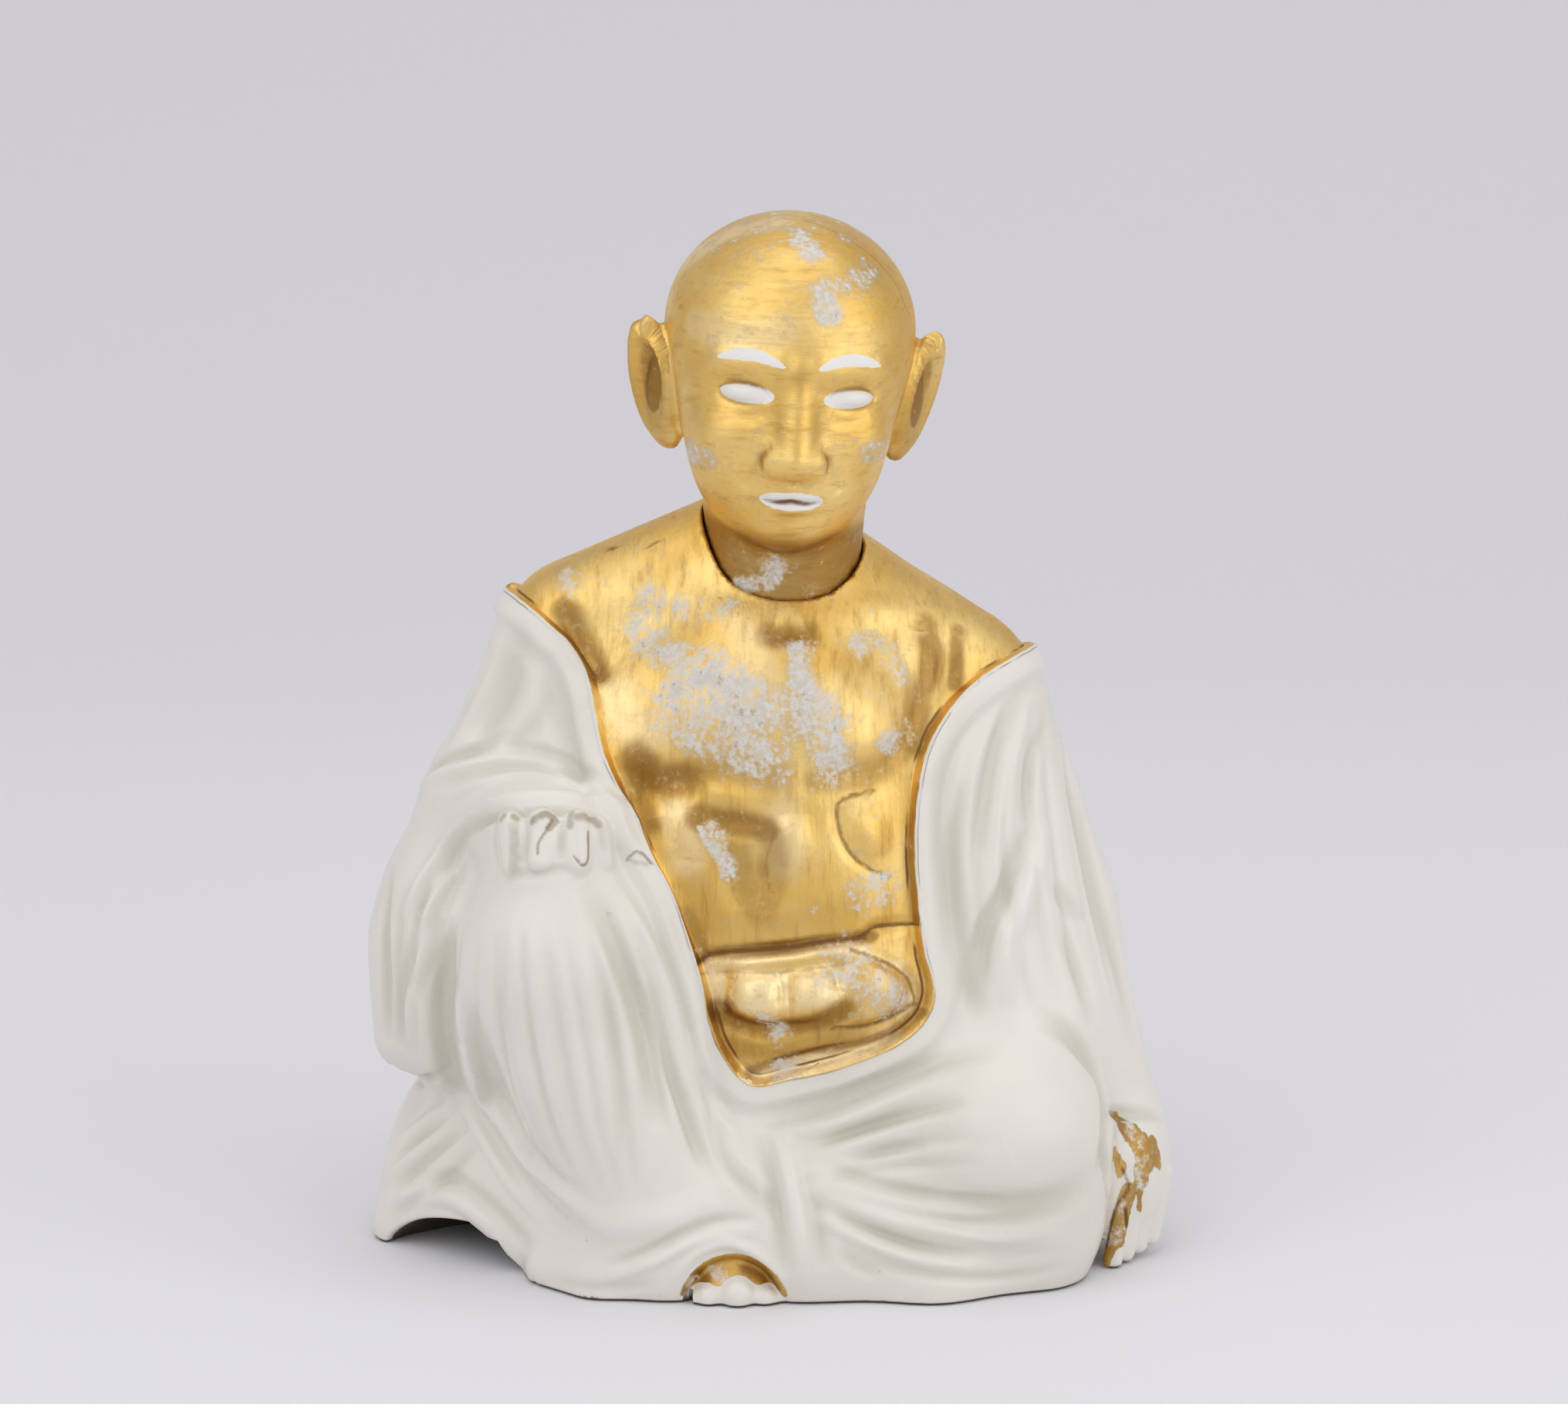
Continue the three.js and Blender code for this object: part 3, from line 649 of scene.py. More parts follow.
BACK_STEP = 0.5
STEP_GAIN = 2.7
END_FADE = 0.8

stroke_lines = [
    (kind, reach, height, line)
    for (kind, reach, height, _), line in zip(strokes, seen_lines(robed_body, strokes))
]
stroke_lines += [
    ("even", reach, height, settle(robed_body, smooth_line(places, BACK_STEP), 5)[0])
    for reach, height, places in back_folds
]


def worked(places, out):
    """Height that the strokes give each place, in shares."""
    lift = np.zeros(len(places))
    for kind, reach, height, line in stroke_lines:
        reach = reach * MILLIMETRE
        near = close_to(line, places, reach)
        if not len(near):
            continue
        d, offset, along, direction = nearest_on(line, places[near])
        q = np.minimum(d / reach, 1)
        hump = (1 - q * q) ** 2
        if kind == "step":
            across = np.cross(out[near], direction)
            hump = STEP_GAIN * np.sign((offset * across).sum(1)) * q * hump
        fade = np.clip(np.sin(math.pi * along), 0, 1) ** END_FADE
        lift[near] += hump * fade * height * MILLIMETRE
    return lift


OUTSIDE_ALL = 60
EDGE_STEP = 0.35


def edge_line():
    """The robe's edge round the bare chest, as a closed line on the body."""
    front = list(seen(robed_body, EDGE_FRONT))
    outward = np.array(EDGE_BACK) - EDGE_HUB
    outward /= np.linalg.norm(outward, axis=1, keepdims=True)
    back = EDGE_HUB + outward * OUTSIDE_ALL
    for _ in range(SIGHT_STEPS):
        back = back - outward * (STEP_SHARE * robed_body(back))[:, None]
    line = smooth_line(front + list(back), EDGE_STEP, closed=True)
    return settle(robed_body, line)[0]


def spread(places):
    """The places as seen from the hub, laid flat round the upward direction."""
    offset = places - EDGE_HUB
    length = np.linalg.norm(offset, axis=1)
    tilt = np.arccos(np.clip(offset[:, 2] / np.maximum(length, 1e-9), -1, 1))
    level = np.maximum(np.hypot(offset[:, 0], offset[:, 1]), 1e-9)
    return offset[:, :2] / level[:, None] * tilt[:, None]


def within(polygon, flat):
    inside = np.zeros(len(flat), bool)
    x, y = flat.T
    for (x1, y1), (x2, y2) in zip(polygon, np.roll(polygon, -1, 0)):
        crosses = (y1 > y) != (y2 > y)
        inside ^= crosses & (x < (x2 - x1) * (y - y1) / (y2 - y1 + 1e-12) + x1)
    return inside


def edge_distance(places):
    """Millimetres from the robe's edge, positive on the bare skin."""
    d = nearest_on(robe_edge, places, closed=True)[0]
    inside = within(spread(robe_edge[::3]), spread(places))
    return np.where(inside, d, -d) / MILLIMETRE


def bump(x, centre, half):
    q = np.clip(np.abs(x - centre) / half, 0, 1)
    return (1 - q * q) ** 2


def ramp(x, low, high):
    t = np.clip((x - low) / (high - low), 0, 1)
    return t * t * (3 - 2 * t)


def edge_relief(mm):
    """Height of the robe's rolled edge, in shares: a soft groove, a broad band, a thin gilt lip,
    then the drop to the skin."""
    band = 0.8 * ramp(mm, -5.6, -3.4) * ramp(-mm, -0.2, 0.5)
    outer_groove = -0.45 * bump(mm, -5.9, 2.6)
    lip = 0.4 * bump(mm, -0.1, 0.65)
    drop = -0.9 * ramp(mm, 0.1, 0.9) * ramp(-mm, -9, -1.2)
    return (band + outer_groove + lip + drop) * MILLIMETRE


robe_edge = edge_line()

SEAT_BORE = 7.6 * MILLIMETRE
FOLD_DEPTH = 2.2
SEAT_REACH = 0.7
ARCH_REACH = 0.5
ARCH_TOP = 6
RECESS_ROUND = 0.7
DIGIT_FILLET = 0.5
RIM_ROUND = 0.35


def with_digits(clay):
    """Clay with the recess of the toes cut into it, and the foot and the fingers laid on."""
    recessed = cut(RECESS_ROUND, clay, toe_recess)
    return blend(DIGIT_FILLET, recessed, foot, *knee_fingers, *table_fingers)


def drawn_onto(form, start, longest, farthest, slope_rounds=1):
    """Corners moved onto a form in four short steps. One that strays too far goes back."""
    places = start.copy()
    for count in range(4):
        if count % slope_rounds == 0:
            slope = slope_of(form, places)
        places = places - np.clip(form(places), -longest, longest)[:, None] * slope
    lost = np.linalg.norm(places - start, axis=1) > farthest
    places[lost] = start[lost]
    return places


def carved_places(places):
    """Corners of the outside moved onto the carved clay, those of the seat and the arch onto them.
    The rest, in the hollow, stay. Also tells which corners are in the hollow."""
    places = places.copy()
    outside = robed_body(places) > -FOLD_DEPTH
    near_seat = (np.abs(neck_seat(places)) < SEAT_REACH) & (around_neck(places) > SEAT_BORE)
    near_arch = (np.abs(arch_opening(places)) < ARCH_REACH) & (places[:, 2] < ARCH_TOP)
    on_seat = ~outside & near_seat
    on_arch = ~outside & near_arch
    surface, out = settle(robed_body, places[outside])
    lift = worked(surface, out) + edge_relief(edge_distance(surface))

    def carved(at):
        return robed_body(at) - lift

    finished = cut(RIM_ROUND, with_digits(carved), neck_seat, arch_opening, table)
    outer = drawn_onto(finished, places[outside], longest=0.8, farthest=2.6, slope_rounds=2)
    places[outside] = outer
    places[on_seat] = settle(neck_seat, places[on_seat], 2)[0]
    places[on_arch] = settle(arch_opening, places[on_arch], 2)[0]
    places[:, 2] = np.maximum(places[:, 2], 0)
    return places, ~(outside | on_seat | on_arch)


def halved(piece, wanted, least):
    """Edges between wanted corners are halved, down to a least length."""
    work = bmesh.new()
    work.from_mesh(piece.data)
    edges = [
        e for e in work.edges
        if wanted[e.verts[0].index] and wanted[e.verts[1].index] and e.calc_length() > least
    ]
    bmesh.ops.subdivide_edges(work, edges=edges, cuts=1, use_grid_fill=True)
    bmesh.ops.triangulate(work, faces=[f for f in work.faces if len(f.verts) > 4])
    work.to_mesh(piece.data)
    work.free()


def pressed_on(piece, beads):
    """Balls of clay added to a piece, before its skin is made anew round all of it."""
    work = bmesh.new()
    work.from_mesh(piece.data)
    for *place, radius in beads:
        made = bmesh.ops.create_icosphere(work, subdivisions=3, radius=radius * SHARE)
        bmesh.ops.translate(work, verts=made["verts"], vec=to_metres(np.array(place)))
    work.to_mesh(piece.data)
    work.free()


lip_beads = [(-28.8 + 6.6 * t, -11.6 - 4.4 * t, 4.9 - 3.3 * t, 0.9 + 1.1 * t)
             for t in np.linspace(0.1, 0.9, 9)]
toe_beads = [(-5.8, -23.2, 1.2, 1.1), (-3.1, -23.4, 1.6, 1.4), (-0.7, -23.2, 1.1, 1.0)]

body = merged_copy(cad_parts["body"], "glazed_body")
pressed_on(body, lip_beads + toe_beads)
for size in (ROUGH, FINE):
    remeshed(body, size)
    places, in_hollow = carved_places(to_shares(corners(body)))
    set_corners(body, to_metres(places))
softened(body, SKIN_ROUNDS)
softened(body, HOLLOW_ROUNDS, np.flatnonzero(in_hollow & (places[:, 2] > FOOT_RIM_TOP)))
thinned(body, BODY_TRIANGLES)


def near_a_rim(places, reach):
    """Corners close to the robe's edge, the collar, the arch or the fingers."""
    outer = robed_body(places) > -SKIN_DEPTH
    rims = np.minimum(np.abs(neck_seat(places)), np.abs(arch_opening(places)))
    digits = blend(0.1, *knee_fingers, *table_fingers, toes)(places)
    along_edge = np.abs(edge_distance(settle(robed_body, places, 2)[0])) * MILLIMETRE
    return outer & (np.minimum.reduce([rims, np.abs(digits), along_edge]) < reach)


halved(body, near_a_rim(to_shares(corners(body)), RIM_HALVED), FINEST_EDGE)
places = to_shares(corners(body))
rims = near_a_rim(places, RIM_MOVED)
places[rims] = carved_places(places[rims])[0]
set_corners(body, to_metres(places))
shade_smooth(body)

# Paint of the body. The gilder's brush, a thin dark outline and the wear of the years are marks
# along lines on the body; half widths are in millimetres.

PAINTS = ("gold_trace", "stain", "dark_line", "worn", "shade", "pale")
SOFT_FROM = 0.2
SOFT_TO = 0.85
marks = []


def brush(paint):
    """A brush for one paint. Each of its marks has a half width, a strength and a line of spots."""
    return lambda half_width, strength, *spots: marks.append((paint, half_width, strength, spots))


gild, stain, outline, wear, shade, paint_highlight = [brush(paint) for paint in PAINTS]

# Brown stains where the fingers' gilding was, and gilding left on the dropped hand
stain(0.6, 0.6, (651, 1061), (653, 1059))
stain(0.6, 0.6, (666, 1060), (669, 1062))
stain(1.2, 0.45, (667, 1076), (668, 1104), (666, 1124))
stain(0.7, 0.75, (694, 1062), (706, 1056), (718, 1063), (714, 1070))
stain(0.7, 0.6, (741, 1058), (740, 1066))
stain(0.9, 0.65, (752, 1059), (762, 1060), (770, 1065))
stain(0.5, 0.45, (822, 1116), (832, 1119))
gild(1.8, 1.0, (1454, 1456), (1466, 1470), (1480, 1486), (1484, 1500))
gild(1.4, 0.9, (1480, 1500), (1479, 1526))
gild(1.0, 0.9, (1494, 1482), (1500, 1506))
gild(1.3, 0.9, (1444, 1496), (1450, 1512))
gild(1.5, 1.0, (1461, 1548), (1452, 1580), (1447, 1604))
gild(1.0, 1.0, (1447, 1600), (1437, 1624), (1432, 1636))
gild(0.5, 0.8, (1476, 1540), (1476, 1564))
wear(3.0, 0.42, (1452, 1456), (1480, 1490), (1479, 1526))
wear(2.2, 0.4, (1463, 1560), (1448, 1604))
shade(3.4, 0.6, (1450, 1450), (1482, 1490), (1478, 1530), (1446, 1600))
# Painted shade: brown on the gilding under the chest and the belly's roll, in the armpits, creases
# and hollows, in the pit of the neck, on the dropped hand and the foot, and over places that would
# shine
shade(3.0, 0.9, (828, 985), (850, 1010), (884, 1010))
shade(2.6, 0.5, (884, 1006), (950, 1000), (1010, 1008))
shade(1.6, 0.8, (822, 1000), (834, 1034), (844, 1068))
shade(2.4, 0.85, (910, 1062), (950, 1068), (990, 1076))
shade(2.6, 0.55, (958, 1084), (962, 1130), (984, 1184), (1004, 1136), (1002, 1090))
shade(2.2, 0.6, (1060, 1012), (1128, 1006), (1170, 975))
shade(2.2, 0.8, (1200, 815), (1204, 860), (1198, 905), (1184, 960))
shade(1.4, 0.8, (1240, 824), (1241, 880))
shade(1.3, 0.75, (902, 1652), (912, 1660))
shade(1.3, 0.8, (972, 1648), (986, 1656), (1000, 1668))
shade(2.4, 0.8, (734, 792), (752, 832), (770, 868))
shade(2.4, 0.75, (1002, 824), (1042, 824))
shade(1.2, 0.8, (903, 1244), (923, 1237), (1000, 1230), (1067, 1221), (1128, 1214))
shade(1.8, 0.6, (892, 1190), (902, 1222))
shade(2.0, 0.9, (932, 1312), (955, 1328), (997, 1338), (1055, 1328), (1090, 1310))
shade(3.0, 0.5, (950, 1356), (1020, 1358), (1110, 1340))
shade(1.0, 0.8, (1190, 1314), (1154, 1341), (1091, 1360), (1034, 1369), (976, 1388))
shade(0.8, 0.4, (908, 1268), (926, 1330), (952, 1378))
shade(1.2, 0.6, (1192, 1026), (1182, 1110), (1188, 1184))
shade(1.0, 0.5, (1180, 1262), (1194, 1290), (1190, 1312))
shade(3.4, 0.3, (900, 1150), (930, 1200), (1000, 1205), (1090, 1180))
shade(5.0, 0.3, (740, 742), (790, 728), (850, 734))
shade(4.6, 0.5, (1110, 870), (1150, 896), (1172, 930))
shade(5.0, 0.2, (1130, 760), (1200, 780))
# Thin dark outlines
outline(0.34, 0.65, (713, 1066), (707, 1077), (698, 1093), (697, 1103))
outline(0.34, 0.75, (761, 1080), (761, 1114), (754, 1121), (748, 1114))
outline(0.34, 0.7, (814, 1112), (822, 1104), (832, 1108), (840, 1118))
outline(0.4, 0.7, (1447, 1500), (1456, 1520), (1462, 1540), (1446, 1566), (1436, 1610))
outline(0.4, 0.8, (1458, 1570), (1459, 1584))
outline(0.5, 0.7, (907, 1246), (923, 1237), (975, 1232), (1026, 1228), (1067, 1221), (1118, 1216))
outline(0.4, 0.7, (1109, 1217), (1124, 1210), (1136, 1202), (1186, 1198))
outline(0.4, 0.4, (911, 1262), (945, 1260), (1001, 1261), (1046, 1257), (1097, 1250))
outline(0.45, 0.6, (1105, 1232), (1153, 1250), (1179, 1270), (1189, 1300))
outline(0.45, 0.6, (1133, 1026), (1102, 1032), (1085, 1046), (1089, 1079), (1102, 1105),
        (1123, 1124), (1156, 1138))
outline(0.4, 0.4, (949, 1077), (945, 1113), (949, 1148), (957, 1173))
outline(0.4, 0.4, (1000, 1089), (992, 1123), (1001, 1163))
outline(0.5, 0.6, (1001, 1378), (1046, 1368), (1089, 1356))
outline(0.6, 0.6, (1083, 1333), (1123, 1333), (1158, 1321), (1185, 1303))
outline(0.35, 0.7, (782, 712), (798, 713), (806, 711))
outline(0.35, 0.6, (828, 711), (840, 712), (846, 708))
outline(0.35, 0.5, (935, 776), (948, 786), (958, 796))
# Painted highlights: the gold made pale and bright on the belly's roll, the ribs, the chest, the band
# under the crease and the lip of the lower border
paint_highlight(3.4, 1.0, (966, 1284), (986, 1286), (1004, 1284))
paint_highlight(3.2, 1.0, (1034, 1282), (1052, 1280), (1066, 1280))
paint_highlight(1.8, 0.9, (926, 1270), (932, 1290))
paint_highlight(1.2, 0.8, (925, 1250), (970, 1243), (1024, 1236), (1072, 1228), (1118, 1232))
paint_highlight(3.0, 0.7, (880, 1062), (886, 1084), (892, 1110))
paint_highlight(3.4, 0.6, (800, 900), (812, 930), (832, 952))
paint_highlight(3.0, 0.6, (1016, 1066), (1022, 1092), (1016, 1114))
paint_highlight(3.2, 0.5, (960, 812), (990, 870), (1004, 920))
paint_highlight(2.0, 0.7, (1166, 1262), (1178, 1286), (1176, 1300))
paint_highlight(1.4, 0.9, (972, 1394), (1030, 1384), (1100, 1366), (1156, 1342))
# Bare patches where the gilding has rubbed off
wear(3.0, 0.6, (840, 786), (832, 812), (845, 838))
wear(2.4, 0.45, (884, 790), (920, 796), (940, 790))
wear(3.6, 0.6, (850, 838), (900, 866), (940, 890))
wear(5.4, 0.8, (900, 880), (950, 905), (985, 930))
wear(5.4, 0.62, (880, 925), (935, 955), (985, 970))
wear(2.2, 0.85, (1034, 850), (1038, 890), (1036, 925))
wear(4.2, 0.8, (1052, 915), (1066, 945), (1078, 980))
wear(2.4, 0.65, (1112, 835), (1124, 830))
wear(2.4, 0.5, (1150, 845), (1160, 870))
wear(2.2, 0.65, (1154, 958), (1168, 948))
wear(1.6, 0.75, (921, 1080), (932, 1100), (942, 1122))
wear(2.0, 0.65, (992, 1325), (1002, 1336))
wear(4.6, 0.55, (1096, 1258), (1130, 1272), (1145, 1290))
wear(3.0, 0.5, (1120, 1160), (1140, 1150))
wear(2.6, 0.5, (735, 745), (742, 752))
wear(2.0, 0.45, (1010, 1388), (1030, 1384))
wear(1.3, 0.6, (928, 1646), (934, 1652))
wear(1.2, 0.6, (892, 1664), (897, 1658))


def painted(places, form):
    """How strong each kind of mark is at each place, from 0 to 1."""
    fields = {paint: np.zeros(len(places)) for paint in PAINTS}
    for (paint, half_width, strength, _), line in zip(marks, seen_lines(form, marks)):
        reach = 2 * half_width * MILLIMETRE
        near = close_to(line, places, reach)
        if len(near):
            d = nearest_on(line, places[near])[0] / reach
            strengths = strength * (1 - ramp(d, SOFT_FROM, SOFT_TO))
            fields[paint][near] = np.maximum(fields[paint][near], strengths)
    return fields


plain_body = with_digits(robed_body)
places = to_shares(corners(body))
fields = painted(settle(plain_body, places, 2)[0], plain_body)

# Gold round the toes; bare clay up the hollow, in the arch and on the foot rim, coloured near black:
# painted shade inside the hollow and the arch, dirt and a painted contact shadow on the foot rim
gilt_foot = ramp(-toe_recess(places), -0.5, -0.2) * ramp(toes(places), 0.05, 0.3)
gilt_foot *= ramp(places[:, 2], 0.4, 1.1)
fields["gold_trace"] = np.maximum(fields["gold_trace"], gilt_foot)
depth = robed_body(places)
inside = ramp(-depth, 1.3, 2.0) * (around_neck(places) > 10)
in_arch = ramp(-arch_opening(places), -0.35, -0.1) * ramp(-depth, 0.35, 0.9)
foot_rim = ramp(-places[:, 2], -0.45, -0.15)
store(body, "unglazed_and_shade", np.maximum.reduce([inside, in_arch, foot_rim]))
for paint, values in fields.items():
    store(body, paint, values)
surface, out = settle(robed_body, places, 2)
lift = worked(surface, out) / MILLIMETRE
store(body, "edge_mm", edge_distance(surface))
store(body, "hollow", np.clip(-lift, 0, 2))
store(body, "crest", np.clip(lift, 0, 2))
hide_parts("body")
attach(body, "root")


class Finish:
    """A material under construction: its nodes are added and linked by short calls."""

    def __init__(self, name):
        self.material = bpy.data.materials.new(name)
        self.material.use_nodes = True
        self.tree = self.material.node_tree
        self.shader = self.tree.nodes["Principled BSDF"]
        self.place = self.tree.nodes.new("ShaderNodeTexCoord").outputs["Object"]

    def feed(self, node, inputs):
        for name, value in inputs.items():
            if isinstance(value, bpy.types.NodeSocket):
                self.tree.links.new(value, node.inputs[name])
            elif value is not None:
                node.inputs[name].default_value = value

    def node(self, kind, inputs, **settings):
        node = self.tree.nodes.new("ShaderNode" + kind)
        for name, value in settings.items():
            setattr(node, name, value)
        self.feed(node, inputs)
        return node.outputs

    def attribute(self, name):
        return self.node("Attribute", {}, attribute_name=name)["Fac"]

    def math(self, operation, a, b=None):
        return self.node("Math", {0: a, 1: b}, operation=operation)[0]

    def ramp(self, value, low, high, least=0.0, most=1.0):
        inputs = {"Value": value, "From Min": low, "From Max": high, "To Min": least, "To Max": most}
        return self.node("MapRange", inputs, interpolation_type="SMOOTHSTEP")["Result"]

    def band(self, value, middle, far, near, most=1.0):
        """Strong where the value is near the middle, and nothing far from it."""
        away = self.math("ABSOLUTE", self.math("SUBTRACT", value, middle))
        return self.ramp(away, far, near, 0, most)

    def noise(self, scale, detail=3.0, roughness=0.5, stretch=None):
        place = self.place
        if stretch:
            place = self.node("Mapping", {"Vector": place, "Scale": stretch})["Vector"]
        inputs = {"Vector": place, "Scale": scale, "Detail": detail, "Roughness": roughness}
        return self.node("TexNoise", inputs)["Fac"]

    def swing(self, noise, width):
        """The noise moved to swing about nought, over a width."""
        return self.math("MULTIPLY", self.math("SUBTRACT", noise, 0.5), width)

    def mix(self, share, a, b, kind="RGBA"):
        return self.node("Mix", {"Factor": share, "A": a, "B": b}, data_type=kind)["Result"]

    def raised(self, height, depth, under=None):
        return self.node("Bump", {"Height": height, "Distance": depth, "Normal": under})["Normal"]

    def coat(self, piece):
        piece.data.materials.clear()
        piece.data.materials.append(self.material)


GLAZE = (0.80, 0.77, 0.70, 1)
GLAZE_POOLED = (0.60, 0.59, 0.49, 1)
GLAZE_THIN = (0.83, 0.81, 0.76, 1)
SHADED_BISCUIT = (0.085, 0.062, 0.048, 1)
BARE = (0.60, 0.56, 0.49, 1)
GOLD_LIGHT = (0.95, 0.70, 0.27, 1)
GOLD = (0.82, 0.52, 0.13, 1)
GOLD_DEEP = (0.30, 0.145, 0.03, 1)
GOLD_WORN = (0.64, 0.48, 0.26, 1)
GOLD_HIGHLIGHT = (0.98, 0.80, 0.46, 1)
OUTLINE = (0.17, 0.075, 0.025, 1)
STAIN = (0.33, 0.25, 0.14, 1)


def gold_coat(finish, hollow, dark, strokes_lie):
    """The gilding: its colour, its roughness, how bare it is, what shows where it is bare, and
    the height of the brush's scratches."""
    cloud = finish.noise(55, 4)
    grain = finish.noise(1100, 3, 0.6)
    bristles = finish.noise(260, 4, 0.65, strokes_lie)
    flake = finish.noise(330, 5, 0.72)
    # Brushed gold, with painted shade, browner in the hollows and under the shade marks, and with
    # painted highlights, paler under the highlight marks
    shaded = finish.ramp(finish.attribute("shade"), 0, 1, 0, 0.85)
    painted_shade = finish.math("MAXIMUM", finish.ramp(hollow, 0.3, 1.5, 0, 0.7), shaded)
    tone = finish.mix(finish.ramp(cloud, 0.35, 0.68), GOLD, GOLD_LIGHT)
    tone = finish.mix(finish.ramp(bristles, 0.5, 0.8, 0, 0.4), tone, GOLD_DEEP)
    tone = finish.mix(finish.ramp(finish.attribute("pale"), 0, 1, 0, 0.9), tone, GOLD_HIGHLIGHT)
    tone = finish.mix(painted_shade, tone, GOLD_DEEP)
    # Wear: the gold thins round a bare patch, and flakes and specks break the patch up
    loss = finish.math("ADD", finish.swing(flake, 2.2), finish.swing(grain, 1.3))
    loss = finish.math("ADD", loss, finish.attribute("worn"))
    tone = finish.mix(finish.ramp(loss, 0.05, 0.6, 0, 0.65), tone, GOLD_WORN)
    tone = finish.mix(finish.ramp(dark, 0.15, 0.9), tone, OUTLINE)
    bare = finish.ramp(loss, 0.34, 0.9)
    bare_tone = finish.mix(finish.ramp(grain, 0.4, 0.62, 0, 0.4), BARE, GLAZE_THIN)
    bare_tone = finish.mix(finish.ramp(finish.noise(620, 3), 0.58, 0.7, 0, 0.6), bare_tone, STAIN)
    rough = finish.ramp(bristles, 0.3, 0.75, 0.38, 0.58)
    rough = finish.mix(finish.ramp(dark, 0.2, 0.75), rough, 0.6, "FLOAT")
    scratch = finish.math("ADD", bristles, finish.math("MULTIPLY", grain, 0.4))
    return tone, rough, bare, bare_tone, scratch


glazed = Finish("gilt_porcelain")
hollow = glazed.attribute("hollow")
unglazed_and_shade = glazed.attribute("unglazed_and_shade")

# Where the gold lies: from the lip of the robe's edge over the skin, less of the lip higher up,
# and in traces on the hand and the foot
edge = glazed.math("ADD", glazed.attribute("edge_mm"), glazed.swing(glazed.noise(400, 2), 0.3))
height = glazed.node("SeparateXYZ", {0: glazed.place})["Z"]
narrower = glazed.ramp(height, 0.046, 0.060, 0, 0.42)
on_skin_side = glazed.ramp(glazed.math("SUBTRACT", edge, narrower), -0.6, -0.45)
ragged = glazed.swing(glazed.noise(700, 3), 0.8)
trace = glazed.math("ADD", glazed.attribute("gold_trace"), ragged)
traced = glazed.ramp(trace, 0.36, 0.56)
gilded = glazed.math("MAXIMUM", on_skin_side, traced)

# Dark outlines: broken ones on both sides of the lip, one round each trace, and the drawn ones
beside_lip = glazed.band(edge, 1.0, 0.45, 0.1)
beside_robe = glazed.band(edge, -0.62, 0.2, 0.05)
patchy = glazed.ramp(glazed.noise(90, 2), 0.40, 0.60)
outlined = glazed.math("MULTIPLY", glazed.math("MAXIMUM", beside_lip, beside_robe), patchy)
outlined = glazed.math("MULTIPLY", outlined, 0.7)
outlined = glazed.math("MAXIMUM", outlined, glazed.band(trace, 0.46, 0.1, 0.03, 0.35))
line_tone = glazed.math("MAXIMUM", glazed.attribute("dark_line"), outlined)

# The gilding, and the glaze: pooled in the folds, thin on the crests, clouded and stained
tone, rough, bare, bare_tone, scratch = gold_coat(glazed, hollow, line_tone, (2.4, 1, 0.3))
tone = glazed.mix(glazed.math("MULTIPLY", traced, 0.3), tone, GOLD_DEEP)
kept_gold = glazed.math("MULTIPLY", gilded, glazed.math("SUBTRACT", 1.0, bare))
lost_gold = glazed.math("MULTIPLY", gilded, bare)
glaze_tone = glazed.mix(glazed.ramp(hollow, 0.0, 1.2, 0, 0.7), GLAZE, GLAZE_POOLED)
on_crest = glazed.ramp(glazed.attribute("crest"), 0.2, 1.4, 0, 0.7)
glaze_tone = glazed.mix(on_crest, glaze_tone, GLAZE_THIN)
clouded = glazed.ramp(glazed.noise(28, 3), 0.4, 0.7, 0, 0.25)
glaze_tone = glazed.mix(clouded, glaze_tone, GLAZE_POOLED)
stained = glazed.math("ADD", glazed.attribute("stain"), glazed.math("MULTIPLY", ragged, 0.4))
glaze_tone = glazed.mix(glazed.ramp(stained, 0.1, 0.9, 0, 0.85), glaze_tone, STAIN)
glaze_tone = glazed.mix(glazed.ramp(line_tone, 0.2, 0.9, 0, 0.8), glaze_tone, OUTLINE)
bare_tone = glazed.mix(lost_gold, glaze_tone, bare_tone)
# Near-black bare clay: painted shade in the hollow and the arch, dirt with painted shadow on the foot
# rim
bare_tone = glazed.mix(glazed.ramp(unglazed_and_shade, 0.2, 0.8), bare_tone, SHADED_BISCUIT)
glaze_rough = glazed.ramp(glazed.noise(70, 3), 0.3, 0.7, 0.22, 0.34)
glaze_rough = glazed.mix(lost_gold, glaze_rough, 0.5, "FLOAT")
glaze_rough = glazed.mix(unglazed_and_shade, glaze_rough, 0.85, "FLOAT")
scratch = glazed.math("MULTIPLY", scratch, gilded)
glazed.feed(glazed.shader, {
    "Base Color": glazed.mix(kept_gold, bare_tone, tone),
    "Metallic": kept_gold,
    "Roughness": glazed.mix(kept_gold, glaze_rough, rough, "FLOAT"),
    "Normal": glazed.raised(scratch, 0.00012, glazed.raised(glazed.noise(45, 2), 0.0005)),
})
glazed.coat(body)

# Head. A porcelain casting of its own, gilded all over, whose tapered neck drops into the collar.
# The face is calm; its brows, eyes and lips are left as white glaze against the gold.

HEAD_VOXEL = 0.0004
HEAD_PLACE = np.array([1.5, -2, 85])
HEAD_TURN = np.array(Euler((0, 0.077, 0.087), "ZYX").to_matrix())
NECK_FOOT = SEAT_FLOOR + 0.35 * MILLIMETRE
NECK_FOOT_RADIUS = 11.2 * MILLIMETRE
NECK_TOP_RADIUS = 13.8 * MILLIMETRE
NECK_TAPER = 0.14
NECK_CROWN = 79
NECK_FILLET = 1.4
FACE_STEP = 0.2
DARK_REACH = 0.45


def to_head(places):
    return (places - HEAD_PLACE) @ HEAD_TURN


def both(make):
    return [make(-1), make(1)]


